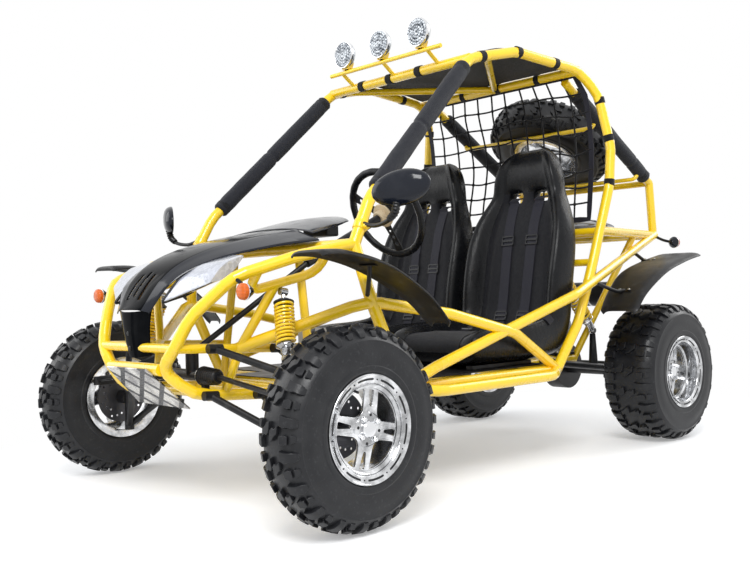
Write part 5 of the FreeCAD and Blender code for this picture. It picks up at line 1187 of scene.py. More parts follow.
class BUGGY_OT_pads(bpy.types.Operator):
    """Foam sleeves on the front pillars and the spare wheel's struts, and every tie"""
    bl_idname = "buggy.pads"
    bl_label = "Pads and ties"

    def execute(self, context):
        radius = context.scene.buggy_soft.pad_radius
        runs = (("pillar", PILLAR_BEND, ROOF_FRONT, 0.06, 0.93, (0.035, 0.965), (0.47,)),
                ("strut", STRUT_TOP, STRUT_BOTTOM, 0.10, 0.94, (0.05, 0.95), (0.8,)))
        ties = Shape()
        for word, start, end, low, high, nips, folds in runs:
            for side, ends in (("left", (start, end)), ("right", (flipped(start), flipped(end)))):
                pad = Shape()
                pad_form(pad, *ends, low, high, radius, nips, folds)
                mesh = pad.mesh(word + "_pad", ["foam_cover"])
                made = put("%s_pad_%s" % (word, side), mesh, crease=60)
                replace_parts(made, "foam_pads")
                for nip in nips:
                    spot = along_bar(*ends, low + (high - low) * nip, (-1, 0.2, 0))
                    tie_form(ties, spot, radius * 0.93, 0.02, tail=0.018)
        for place in (0.25, 0.46, 0.67):
            tie_form(ties, along_bar(flipped(ROOF_FRONT), ROOF_FRONT, place, (0, -1, 0.3)), TIE_RADIUS, 0.03)
        for place in (0.3, 0.53, 0.77):
            tie_form(ties, along_bar(flipped(RAIL_REAR), RAIL_REAR, place, (0, 1, 0.3)), TIE_RADIUS, 0.024)
        for mirror in (lambda spot: spot, flipped):
            for start, end, place in ((ROOF_FRONT, RAIL_CREST, 0.24), (RAIL_CREST, RAIL_REAR, 0.02),
                                      (RAIL_CREST, RAIL_REAR, 0.6), (HOOP_SHOULDER, HOOP_HIGH, 0.12),
                                      (HOOP_SHOULDER, HOOP_HIGH, 0.84), (HOOP_HIGH, HOOP_MID, 0.9)):
                tie_form(ties, along_bar(mirror(start), mirror(end), place, (-1, 0, 0)), TIE_RADIUS, 0.026)
        put("ties", ties.mesh("ties", ["webbing"]), round_edge=0.0004)
        return {"FINISHED"}


def seat_line(row):
    """Front of the backrest or cushion at a fractional row: place and outward direction, side view."""
    low = min(int(row), len(SEAT_ROWS) - 2)
    here, there = Vector(SEAT_ROWS[low][0]), Vector(SEAT_ROWS[low + 1][0])
    before = Vector(SEAT_ROWS[max(low - 1, 0)][0])
    after = Vector(SEAT_ROWS[min(low + 2, len(SEAT_ROWS) - 1)][0])
    way = (after - before).normalized()
    spot = here.lerp(there, row - low)
    return Vector((0, spot.x, spot.y)), Vector((0, -way.y, way.x))


def laid(tree, spots, lift):
    """Lay a path on a seat: each spot and direction is met with the cover, then eased."""
    points, ways = [], []
    for spot, way in spots:
        hit, _, _, _ = tree.ray_cast(spot + way * 0.09, -way)
        points.append((hit if hit is not None else spot) + way * lift)
        ways.append(way)
    for _ in range(4):
        eased = [points[0]] + [
            points[place] * 0.5 + (points[place - 1] + points[place + 1]) * 0.25
            for place in range(1, len(points) - 1)] + [points[-1]]
        points = [
            new if (new - old).dot(way) > 0 else old.lerp(new, 0.3)
            for old, new, way in zip(points, eased, ways)]
    return points, ways


def on_strap(points, ways, share):
    """Matrix on a strap: X across it, Y along it, Z out."""
    place = min(int(share * (len(points) - 1)), len(points) - 2)
    way = (points[place + 1] - points[place]).normalized()
    out = (ways[place] - way * ways[place].dot(way)).normalized()
    turn = Matrix((way.cross(out), way, out)).transposed().to_4x4()
    turn.translation = points[place].lerp(points[place + 1], share * (len(points) - 1) - place)
    return turn


def adjuster(shape, matrix, wide, number):
    """A three-bar buckle."""
    half = wide / 2
    for side in (1, -1):
        low, high = sorted((side * (half + 0.001), side * (half + 0.006)))
        shape.box((low, -0.019, 0.0012), (high, 0.019, 0.0058), matrix, number)
    for place, thick in ((-0.017, 0.005), (0.0, 0.007), (0.017, 0.005)):
        shape.box((-half - 0.003, place - thick / 2, 0.0026), (half + 0.003, place + thick / 2, 0.0072),
                  matrix, number)


def tongue_buckle(shape, matrix, wide):
    """A push-button buckle with its bright tongue."""
    half = wide / 2
    shape.box((-half, -0.028, 0.001), (half, 0.028, 0.016), matrix, 1)
    shape.box((-half * 0.66, -0.02, 0.015), (half * 0.66, 0.004, 0.0178), matrix, 3)
    shape.box((-half * 0.8, 0.02, 0.006), (half * 0.8, 0.052, 0.0085), matrix, 2)


# Middle of a belt above the seat cover
BELT_LIFT = 0.0022


class BUGGY_OT_belts(bpy.types.Operator):
    """Shoulder and lap belts with their buckles, laid on the seats"""
    bl_idname = "buggy.belts"
    bl_label = "Belts"

    def execute(self, context):
        seats = context.scene.buggy_seats
        shape = Shape()
        graph = context.evaluated_depsgraph_get()
        for side, word in ((1, "left"), (-1, "right")):
            tree = BVHTree.FromObject(bpy.data.objects["seat_cover_" + word], graph)
            for shift in (1, -1):
                spots = []
                for step in range(61):
                    row = 14.12 - step / 60 * 7.87
                    spot, way = seat_line(row)
                    spot.x = side * seats.across + shift * (0.062 - 0.010 * step / 60)
                    spots.append((spot, way))
                points, ways = laid(tree, spots, BELT_LIFT)
                inward = [points[0] + Vector((0, 0.06, 0.012)), points[0] + Vector((0, 0.02, 0.012))]
                shape.strip(inward + points, [Vector((0, -0.3, 1))] * 2 + ways, seats.belt_width, 0.002)
                second = [point + way * 0.0026 for point, way in zip(points[24:52], ways[24:52])]
                shape.strip(second, ways[24:52], seats.belt_width * 0.98, 0.0018)
                adjuster(shape, on_strap(points, ways, 0.36 if side > 0 else 0.5), seats.belt_width, 1)
                adjuster(shape, on_strap(points, ways, 0.84), seats.belt_width, 1)
            for hand in (1, -1):
                spots = []
                for step in range(41):
                    share = step / 40
                    across = hand * (0.205 - 0.155 * share)
                    spot, way = seat_line(6.4 - 2.6 * share + 0.7 * math.sin(share * math.pi))
                    spot.x = side * seats.across + across + 0.012 * math.sin(share * 9 + hand)
                    lean = Vector((hand * 0.9 * max(0.0, 0.45 - share), 0, 0))
                    spots.append((spot, (way + lean).normalized()))
                points, ways = laid(tree, spots, BELT_LIFT)
                shape.strip(points, ways, seats.belt_width, 0.002)
                if hand > 0:
                    tongue_buckle(shape, on_strap(points, ways, 0.97), seats.belt_width)
                else:
                    adjuster(shape, on_strap(points, ways, 0.6), seats.belt_width, 1)
        mesh = shape.mesh("belts", ["belt", "black_plastic", "bright_steel", "red_lens"])
        made = put("belts", mesh, round_edge=0.0006, steps=1)
        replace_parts(made, "harnesses")
        return {"FINISHED"}


def canopy_spot(u, v, sag):
    """A place on the roof sheet: u across from -1 to 1, v from front to back."""
    if v < 0.385:
        share = v / 0.385
        half, top = 0.354 + 0.028 * share, 1.4775 + 0.0515 * (1 - (1 - share) ** 1.6)
    else:
        share = (v - 0.385) / 0.615
        half, top = 0.382 + 0.026 * share, 1.529 - 0.0225 * share ** 1.4
    dip = sag * (1 - u * u) * math.sin(math.pi * v)
    ripple = 0.0009 * math.sin(v * 21 + u * 3) * (abs(u) ** 3)
    return Vector((half * u, -0.0425 + 0.5530 * v, top - dip + ripple))


class BUGGY_OT_canopy(bpy.types.Operator):
    """The cloth roof stretched between the rails"""
    bl_idname = "buggy.canopy"
    bl_label = "Canopy"

    def execute(self, context):
        sag = context.scene.buggy_soft.canopy_sag
        columns, rows = 40, 30
        shape = Shape()
        grids = [[[canopy_spot(2 * column / columns - 1, row / rows, sag) + Vector((0, 0, lift))
                   for column in range(columns + 1)] for row in range(rows + 1)] for lift in (0.0, 0.0022)]
        rings = []
        for row in range(rows + 1):
            rings.append(grids[0][row] + list(reversed(grids[1][row])))
        shape.rings(rings)
        hem = Shape()
        lift = Vector((0, 0, 0.0021))
        for v in (0.012, 0.988):
            path = [canopy_spot(2 * step / 40 - 1, v, sag) + lift for step in range(41)]
            hem.strip(path, (0, 0, 1), 0.024, 0.0014)
        for u in (-0.965, 0.965, -0.33, 0.33):
            path = [canopy_spot(u, 0.03 + 0.94 * step / 40, sag) + lift for step in range(41)]
            hem.strip(path, (0, 0, 1), 0.022, 0.0014)
        sheet = put("canopy_cloth", shape.mesh("canopy_cloth", ["canopy"]), crease=60)
        edge = put("canopy_hems", hem.mesh("canopy_hems", ["belt"]), round_edge=0.0004, steps=1)
        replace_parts(sheet, "roof_canopy")
        return {"FINISHED"}


def net_spot(u, v):
    """A place on the rear net: u across from -1 to 1, v from the top down."""
    high = 1.486 - 0.586 * v
    if high > 1.18:
        share = (1.486 - high) / 0.306
        along = 0.5484 + 0.0576 * math.sin(share * math.pi / 2)
    else:
        share = (1.18 - high) / 0.28
        along = 0.606 - 0.034 * share ** 1.4
    half = 0.436 if high < 1.4 else 0.436 - 0.034 * (high - 1.4) / 0.086
    drape = noise.noise(Vector((u * 2.1, v * 2.4, 0.3)))
    hang = 0.007 * (1 - u * u) * math.sin(v * math.pi)
    along = min(along, 0.6055) - 0.007 * abs(drape) * math.sin(v * math.pi)
    return Vector((half * u + 0.004 * drape, along, high - hang))


class BUGGY_OT_net(bpy.types.Operator):
    """The rear window's cord net with its webbing border"""
    bl_idname = "buggy.net"
    bl_label = "Rear net"

    def execute(self, context):
        cord = context.scene.buggy_soft.net_cord / 2
        columns, rows = 11, 8
        shape = Shape()

        def skew(u, v):
            shift = noise.noise(Vector((u * 2.6, v * 3.1, 1.7))) * 0.05
            rise = noise.noise(Vector((u * 3.1, v * 2.3, 7.9))) * 0.05
            return net_spot(u + shift * (1 - abs(u)), min(max(v + rise * v * (1 - v) * 4, 0), 1))

        for column in range(1, columns):
            u = 2 * column / columns - 1
            shape.tube([skew(u, step / 36) for step in range(37)], cord, 8)
        for row in range(1, rows):
            v = row / rows
            shape.tube([skew(2 * step / 48 - 1, v) for step in range(49)], cord, 8)
        bead = [(0, -0.0072), (0.005, -0.0055), (0.0075, 0), (0.005, 0.0055), (0, 0.0072)]
        # a small bright steel bead on the front of each knot stands in for the pale glint at each crossing: a
        # painted glint
        painted_glint = [(0, -0.0016), (0.0016, 0), (0, 0.0016)]
        for column in range(1, columns):
            for row in range(1, rows):
                knot = Matrix.Translation(skew(2 * column / columns - 1, row / rows))
                shape.turned(bead, knot, 8)
                shape.turned(painted_glint, Matrix.Translation((0.0012, -0.0066, 0.001)) @ knot, 6, 1)
        edge = [(-1, step / 14) for step in range(14)] + [(-1 + 2 * step / 20, 1.0) for step in range(20)]
        edge += [(1, 1 - step / 14) for step in range(14)] + [(1 - 2 * step / 20, 0.0) for step in range(21)]
        path = [net_spot(*mark) for mark in edge]
        path = [spot.lerp(Vector((0, spot.y, 1.19)), 0.018) for spot in path]
        shape.strip(path, (0, -1, 0), 0.022, 0.0024, 2)
        mesh = shape.mesh("net_cords", ["webbing", "bright_steel", "belt"])
        made = put("net_cords", mesh, crease=60)
        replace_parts(made, "rear_net")
        return {"FINISHED"}


# Lamps, mirrors, controls and springs

# Middle of the roof lamps, and the top of the bar below them
ROOF_LAMP_ALONG = -0.132
ROOF_LAMP_HIGH = 1.578
ROOF_LAMP_FOOT = 1.512


class BUGGY_OT_roof_lamps(bpy.types.Operator):
    """Three cut-glass lamps in brackets on the lamp bar"""
    bl_idname = "buggy.roof_lamps"
    bl_label = "Roof lamps"

    def execute(self, context):
        for word, across in (("left", 0.203), ("middle", 0.0), ("right", -0.203)):
            spot = wheel_matrix(Vector((across, ROOF_LAMP_ALONG, ROOF_LAMP_HIGH)), (0, -1, 0), (1, 0, 0))
            shape = Shape()
            shape.turned([(0, -0.0255), (0.016, -0.0255), (0.021, -0.0245), (0.0235, -0.021),
                          (0.035, -0.015), (0.045, -0.005), (0.0505, 0.006), (0.0522, 0.0135),
                          (0.0522, 0.0165), (0, 0.0165)], spot, 56)
            shape.turned([(0.0505, 0.013), (0.0525, 0.0135), (0.0529, 0.0155), (0.0529, 0.0195),
                          (0.0515, 0.0215), (0.049, 0.022), (0.048, 0.0205), (0.048, 0.013)],
                         spot, 56, 1, closed=True)
            for ring, (count, away) in enumerate(((6, 0.008), (12, 0.0195), (18, 0.031), (24, 0.0425))):
                for turn in range(count):
                    place = polar(away, 0, math.tau * (turn + ring * 0.5) / count)
                    rise = 0.0235 - 0.0035 * (away / 0.048) ** 2
                    stud = spot @ Matrix.Translation((place.x, place.y, rise))
                    shape.turned([(0.0072, -0.008), (0.0062, 0), (0.0028, 0.0022), (0, 0.0024)], stud, 6)
            foot = Matrix.Translation((across, ROOF_LAMP_ALONG, ROOF_LAMP_FOOT))
            shape.turned([(0, 0.008), (0.011, 0.008), (0.0115, 0.0095), (0.0115, 0.013), (0.0075, 0.0145),
                          (0.0065, 0.03), (0, 0.03)], foot, 20, 2)
            nut = Matrix.Translation((across, ROOF_LAMP_ALONG, 1.5345))
            shape.turned(sleeve(0.0065, 0.0105, 0.003, 0.0105), nut, 6, 4, closed=True)
            for hand in (1, -1):
                lug = [(across + hand * 0.013, ROOF_LAMP_ALONG + along, up) for along, up in (
                    (-0.013, 1.523), (0.013, 1.523), (0.021, 1.545), (0.019, 1.566), (0.008, 1.577),
                    (0.0, 1.566), (-0.006, 1.548))]
                other = [(x + hand * 0.0035, y, z) for x, y, z in lug]
                shape.rings([lug, other] if hand < 0 else [other, lug], 3)
            low, high = 1.521 - ROOF_LAMP_FOOT, 1.5245 - ROOF_LAMP_FOOT
            shape.box((-0.0165, -0.013, low), (0.0165, 0.013, high), foot, 3)
            pin = along_bar((across - 0.021, -0.122, 1.561), (across + 0.021, -0.122, 1.561), 0)
            shape.turned([(0, 0), (0.0055, 0), (0.0055, 0.003), (0.0035, 0.003), (0.0035, 0.039),
                          (0.0055, 0.039), (0.0055, 0.042), (0, 0.042)], pin, 6, 2)
            # the lamps' cut glass carries painted highlights and painted shade on its facets
            made = put("roof_lamp_" + word, shape.mesh("roof_lamp", [
                "crystal", "chrome", "black_steel", "frame_yellow", "bright_steel"]), crease=28)
            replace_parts(made, "roof_lamps")
        return {"FINISHED"}


HEADLAMP_LINE = ((0, 0), (0.28, 0.5), (0.52, 0.78), (1, 1), (0.76, 0.55), (0.48, 0.2))


class BUGGY_OT_lamps(bpy.types.Operator):
    """Headlamps beside the hood, signal lamps and tail lamps"""
    bl_idname = "buggy.lamps"
    bl_label = "Lamps"

    def execute(self, context):
        corners = [(along * 0.21, up * 0.136) for along, up in HEADLAMP_LINE]
        outline = rounded(corners, 0.016, 4)
        count = len(outline)
        middle = sum(outline, Vector((0, 0))) / count
        for side, word in ((1, "left"), (-1, "right")):
            shape = Shape()
            rings = []
            for step in range(13):
                share = step / 12
                crown = 1 - 0.012 * (1 if step == 0 else 0) - (0.05 if step == 12 else 0)
                taper = 1 - 0.38 * share ** 1.3
                small = taper * crown
                rings.append([Vector((
                    side * (0.142 + 0.144 * share),
                    -1.19 + 0.07 * share + (middle.x + (spot.x - middle.x) * crown) * taper,
                    0.622 + 0.0525 * share + (middle.y + (spot.y - middle.y) * crown) * small / crown,
                )) for spot in outline])
            shape.rings(rings if side > 0 else [list(reversed(ring)) for ring in rings])
            rim = [ring[0] for ring in rings]
            trim = [Vector((side * 0.1425, -1.19 + spot.x, 0.622 + spot.y)) for spot in outline]
            shape.tube(trim, 0.0042, 8, 1, closed=True)
            shape.tube(rim, 0.0018, 8, 1)
            # the headlamp's pale facets are painted highlights of the bowl behind the glass
            mesh = shape.mesh("headlamp", ["lamp_white", "black_plastic"])
            made = put("headlamp_" + word, mesh, crease=50)
            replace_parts(made, "headlamps")
        for place, way, lens, anchor, word in (
                ((0.424, -1.112, 0.650), -1, 0, (0.352, -1.078, 0.692), "front"),
                ((0.466, 1.186, 0.820), 1, 1, (0.362, 1.172, 0.858), "rear")):
            for side, hand in ((1, "left"), (-1, "right")):
                shape = Shape()
                tip = Vector((side * place[0], place[1], place[2]))
                spot = wheel_matrix(tip, (0, way, 0), (0, 0, 1))
                shape.turned([(0, -0.0455), (0.006, -0.0455), (0.0105, -0.043), (0.0165, -0.034),
                              (0.0222, -0.026), (0.0238, -0.0235), (0.0238, -0.02), (0, -0.02)], spot, 36, 2)
                shape.turned([(0.0238, -0.0215), (0.0249, -0.0212), (0.0249, -0.0185), (0.0238, -0.018)],
                             spot, 36, 3, closed=True)
                shape.turned([(0.0235, -0.0195), (0.0235, -0.0105), (0.0222, -0.006), (0.0175, -0.0022),
                              (0.0105, -0.0006), (0, 0)], spot, 36, lens)
                foot = Vector((side * anchor[0], anchor[1], anchor[2]))
                start = tip - Vector((0, way * 0.034, 0))
                bend = start.lerp(foot, 0.45) + Vector((0, -way * 0.006, -0.004))
                shape.tube(smooth_path([start, bend, foot], 8), 0.0062, 12, 2)
                made = put("%s_signal_%s" % (word, hand), shape.mesh("signal", [
                    "amber_plastic", "red_lens", "gloss_black", "chrome"]), crease=40)
                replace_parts(made, "signal_lamps")
        return {"FINISHED"}


# Middle of the left mirror, and its shell from the back to the glass: share of its oval, and place along
MIRROR_ACROSS = 0.64
MIRROR_ALONG = -0.697
MIRROR_HIGH = 0.938
MIRROR_SHELL = [
    (0.12, -0.7136), (0.4, -0.7125), (0.66, -0.7088), (0.84, -0.7028), (0.95, -0.695),
    (1.0, -0.687), (1.0, -0.682), (0.985, -0.6804), (0.955, -0.6806), (0.945, -0.6822),
]


class BUGGY_OT_mirrors(bpy.types.Operator):
    """Oval mirrors on booted stems"""
    bl_idname = "buggy.mirrors"
    bl_label = "Mirrors"

    def execute(self, context):
        tilt = math.radians(10)
        for side, word in ((1, "left"), (-1, "right")):
            shape = Shape()
            rings = []
            toe = Matrix.Translation((side * MIRROR_ACROSS, MIRROR_ALONG, 0))
            toe = toe @ Matrix.Rotation(side * math.radians(27), 4, "Z")
            toe = toe @ Matrix.Translation((side * -MIRROR_ACROSS, -MIRROR_ALONG, 0))
            for small, along in MIRROR_SHELL:
                ring = []
                for turn in range(56):
                    angle = math.tau * turn / 56
                    wide, high = 0.0915 * small * math.cos(angle), 0.0525 * small * math.sin(angle)
                    spot = Vector((wide * math.cos(tilt) - high * math.sin(tilt), 0,
                                   wide * math.sin(tilt) + high * math.cos(tilt)))
                    ring.append(toe @ Vector((side * (MIRROR_ACROSS + spot.x), along, MIRROR_HIGH + spot.z)))
                rings.append(ring if side < 0 else list(reversed(ring)))
            shape.rings(rings, 0, capped=False)
            shape.add(rings[0], [tuple(reversed(range(56)))], 0)
            shape.add(rings[-1], [tuple(range(56))], 1)
            neck = Vector((side * 0.628, -0.699, 0.892))
            clamp = Vector((side * 0.4436, -0.6748, 0.8422))
            shape.tube(smooth_path([neck, (side * 0.618, -0.697, 0.868), (side * 0.585, -0.694, 0.846),
                                    (side * 0.52, -0.685, 0.836), clamp.lerp(neck, 0.09)], 10), 0.0066, 14, 2)
            boot = smooth_path([neck + Vector((0, 0, 0.006)), (side * 0.618, -0.697, 0.868),
                                (side * 0.592, -0.6945, 0.85)], 14)
            shape.tube(boot, 0.0125, 16, 3,
                       swell=lambda share: 1.05 - 0.25 * share + 0.1 * math.sin(share * 44))
            base = along_bar(clamp + Vector((side * 0.016, 0, -0.002)),
                             clamp + Vector((side * 0.04, -0.003, -0.005)), 0)
            shape.turned([(0, 0), (0.017, 0), (0.017, 0.004), (0.011, 0.006), (0.0105, 0.016),
                          (0.0085, 0.0175), (0.0085, 0.023), (0, 0.023)], base, 20, 4)
            collar = along_bar(PILLAR_FOOT if side > 0 else flipped(PILLAR_FOOT),
                               PILLAR_BEND if side > 0 else flipped(PILLAR_BEND), 0.4)
            shape.turned([(0.0188, -0.014), (0.0215, -0.014), (0.0222, -0.012), (0.0222, 0.012),
                          (0.0215, 0.014), (0.0188, 0.014)], collar, 32, 4, closed=True)
            mesh = shape.mesh("mirror", [
                "gloss_black", "chrome", "black_steel", "rubber_boot", "frame_yellow"])
            made = put("mirror_" + word, mesh, crease=42)
            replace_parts(made, "mirrors")
        return {"FINISHED"}


WHEEL_CENTER = Vector((0.255, -0.380, 0.905))
COLUMN_JOINT = Vector((0.255, -0.735, 0.734))


class BUGGY_OT_steering_wheel(bpy.types.Operator):
    """Stitched steering wheel with three drilled spokes"""
    bl_idname = "buggy.steering_wheel"
    bl_label = "Steering wheel"

    def execute(self, context):
        axis = (WHEEL_CENTER - COLUMN_JOINT).normalized()
        turn = wheel_matrix(WHEEL_CENTER, axis, (1, 0, 0))
        shape = Shape()
        grip_radius = 0.152
        section = [math.tau * place / 18 for place in range(18)]
        rings = []
        for step in range(120):
            angle = math.tau * step / 120
            swell = 0.0126 + 0.0004 * math.cos(angle * 24)
            rings.append([turn @ Vector((
                (grip_radius + swell * math.cos(around)) * math.cos(angle),
                (grip_radius + swell * math.cos(around)) * math.sin(angle),
                swell * 0.92 * math.sin(around))) for around in section])
        shape.rings(rings, 0, closed=True)
        stitch = [(0.1402, 0.0, 0.0038), (0.1394, 0.009, 0.0), (0.1402, 0.018, -0.0038)]
        for step in range(150):
            angle = math.tau * step / 150
            spot = [turn @ Vector((reach * math.cos(angle + lean), reach * math.sin(angle + lean), rise))
                    for reach, lean, rise in stitch]
            shape.tube(spot, 0.0006, 5, 5)
        for angle in (math.radians(90), math.radians(210), math.radians(330)):
            spoke = [polar(0.028, -0.016, angle), polar(0.09, -0.0125, angle), polar(0.146, -0.019, angle),
                     polar(0.146, 0.019, angle), polar(0.09, 0.0125, angle), polar(0.028, 0.016, angle)]
            holes = [list(reversed(circle(radius, 20, polar(away, 0, angle))))
                     for away, radius in ((0.062, 0.0055), (0.085, 0.0065), (0.111, 0.0078))]
            made = plate([rounded(spoke, 0.012, 5), *holes], 0.0034, 0.0008, "spoke")
            for spot in made.vertices:
                away = math.hypot(spot.co.x, spot.co.y)
                spot.co.z -= 0.018 * (1 - min(max((away - 0.03) / 0.11, 0), 1)) ** 1.5
            shape.join(made, turn, 1)
        shape.turned([(0, -0.046), (0.021, -0.046), (0.024, -0.043), (0.024, -0.024), (0.04, -0.022),
                      (0.042, -0.0195), (0.041, -0.015), (0, -0.015)], turn, 40, 4)
        shape.turned([(0, -0.017), (0.0385, -0.017), (0.0392, -0.013), (0.037, -0.008), (0.03, -0.0045),
                      (0.012, -0.003), (0, -0.003)], turn, 40, 2)
        for spot in circle(0.0335, 6):
            bolt = turn @ Matrix.Translation((*spot, -0.0075))
            shape.turned([(0, 0), (0.0032, 0), (0.0032, 0.002), (0.002, 0.0028), (0, 0.0028)], bolt, 12, 3)
        made = put("wheel_grip", shape.mesh("wheel_grip", [
            "grip", "black_steel", "black_plastic", "bright_steel", "cream_plastic", "thread"]),
            "steering_wheel", crease=40)
        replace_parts(made, "steering_wheel")
        return {"FINISHED"}


def coil_over(shape, low, high, turns, across):
    """A damper between its eyes, with the spring held between two seats."""
    matrix = along_bar(low, high, 0, across)
    length = (Vector(high) - Vector(low)).length
    for end in (0.0, length):
        eye = matrix @ Matrix.Translation((0, 0, end)) @ Matrix.Rotation(math.radians(90), 4, "Y")
        shape.turned([(0.0072, -0.0118), (0.011, -0.0118), (0.0118, -0.011), (0.0118, 0.011), (0.011, 0.0118),
                      (0.0072, 0.0118)], eye, 24, 1, closed=True)
        shape.turned(disc(0.0068, -0.0128, 0.0128), eye, 6, 2)
    first, last = length * 0.2, length * 0.82
    shape.turned([(0, 0.008), (0.013, 0.009), (0.0165, 0.014), (0.0165, length * 0.52),
                  (0.0155, length * 0.54), (0, length * 0.54)], matrix, 28, 1)
    shape.turned(disc(0.0062, length * 0.53, length - 0.008), matrix, 16, 3)
    seat = [(0.006, 0.0), (0.0295, 0.0), (0.0306, 0.002), (0.0306, 0.0045), (0.026, 0.006),
            (0.0175, 0.012), (0.006, 0.013)]
    for rise, way in ((first, -1), (last, 1)):
        shape.turned([(reach, rise + way * deep) for reach, deep in seat], matrix, 36,
                     1 if way < 0 else 4, closed=True)
    for groove in range(4):
        rise = first - 0.014 - groove * 0.004
        groove_edge = [(0.0163, rise), (0.0172, rise + 0.001), (0.0163, rise + 0.002)]
        shape.turned(groove_edge, matrix, 24, 1, closed=True)
    shape.turned([(0.006, last - 0.028), (0.013, last - 0.026), (0.015, last - 0.016), (0.013, last - 0.002),
                  (0.006, last - 0.001)], matrix, 24, 4, closed=True)
    path = []
    for step in range(int(turns * 22) + 1):
        angle = math.tau * step / 22
        share = step / (turns * 22)
        flat = min(share * turns, (1 - share) * turns, 1.0)
        rise = share - (0.5 / turns) * (1 - flat) * (1 if share < 0.5 else -1) * 0.6
        rise = min(max(rise, 0), 1)
        path.append(matrix @ Vector((0.0262 * math.cos(angle), 0.0262 * math.sin(angle),
                                     first + 0.0045 + (last - first - 0.009) * rise)))
    shape.tube(path, 0.0042, 10, 0)


class BUGGY_OT_springs(bpy.types.Operator):
    """Four coil-over dampers"""
    bl_idname = "buggy.springs"
    bl_label = "Springs and dampers"

    def execute(self, context):
        for end, low, high, turns, across in (
                ("front", (0.413, -0.9449, 0.4538), (0.3473, -0.9022, 0.6468), 11, (0, 1, 0)),
                ("rear", (0.318, 0.740, 0.452), (0.318, 0.5021, 0.7157), 12, (1, 0, 0))):
            for side, word in ((1, "left"), (-1, "right")):
                shape = Shape()
                mirror = Vector((side, 1, 1))
                coil_over(shape, Vector(low) * mirror, Vector(high) * mirror, turns, across)
                made = put("%s_spring_%s" % (end, word), shape.mesh("spring", [
                    "spring_yellow", "alloy", "zinc", "chrome", "black_plastic"]), crease=35)
                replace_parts(made, end + "_shocks")
        return {"FINISHED"}


# Nose

HOOD_STATIONS = (
    # along, half width, edge height, crown height
    (-1.224, 0.096, 0.596, 0.606), (-1.163, 0.132, 0.672, 0.690), (-1.095, 0.160, 0.722, 0.746),
    (-0.988, 0.200, 0.762, 0.792), (-0.837, 0.262, 0.794, 0.830), (-0.718, 0.300, 0.809, 0.853),
)
SLIT_ROWS = (4, 13)
SLIT_EDGES = (0.0065, 0.0275, 0.0405)


def hood_section(station):
    """Points across the hood at one station: raised middle panel, a crease, and falling sides."""
    along, half, edge, crown = station
    tuck = 0.020 * min(max((-1.163 - along) / 0.061, 0.0), 1.0)
    inner = [0.0, 0.0032, *SLIT_EDGES[:1], 0.017, *SLIT_EDGES[1:]]
    shares = (0.22, 0.42, 0.5, 0.56, 0.72, 0.88, 0.975, 1.0)
    outer = [SLIT_EDGES[-1] + (half - SLIT_EDGES[-1]) * share for share in shares]
    rise = crown - edge
    made = []
    for across in inner + outer:
        share = across / half
        if share < 0.62:
            high = crown - rise * 0.16 * (share / 0.62) ** 2
        elif share < 0.68:
            high = crown - rise * (0.16 + 0.22 * (share - 0.62) / 0.06)
        else:
            high = crown - rise * (0.38 + 0.62 * ((share - 0.68) / 0.32) ** 1.25)
        if across == half:
            high = edge - 0.0035
        made.append(Vector((across, along + tuck * share ** 2.2, high)))
    return [flipped(spot) for spot in reversed(made[1:])] + made


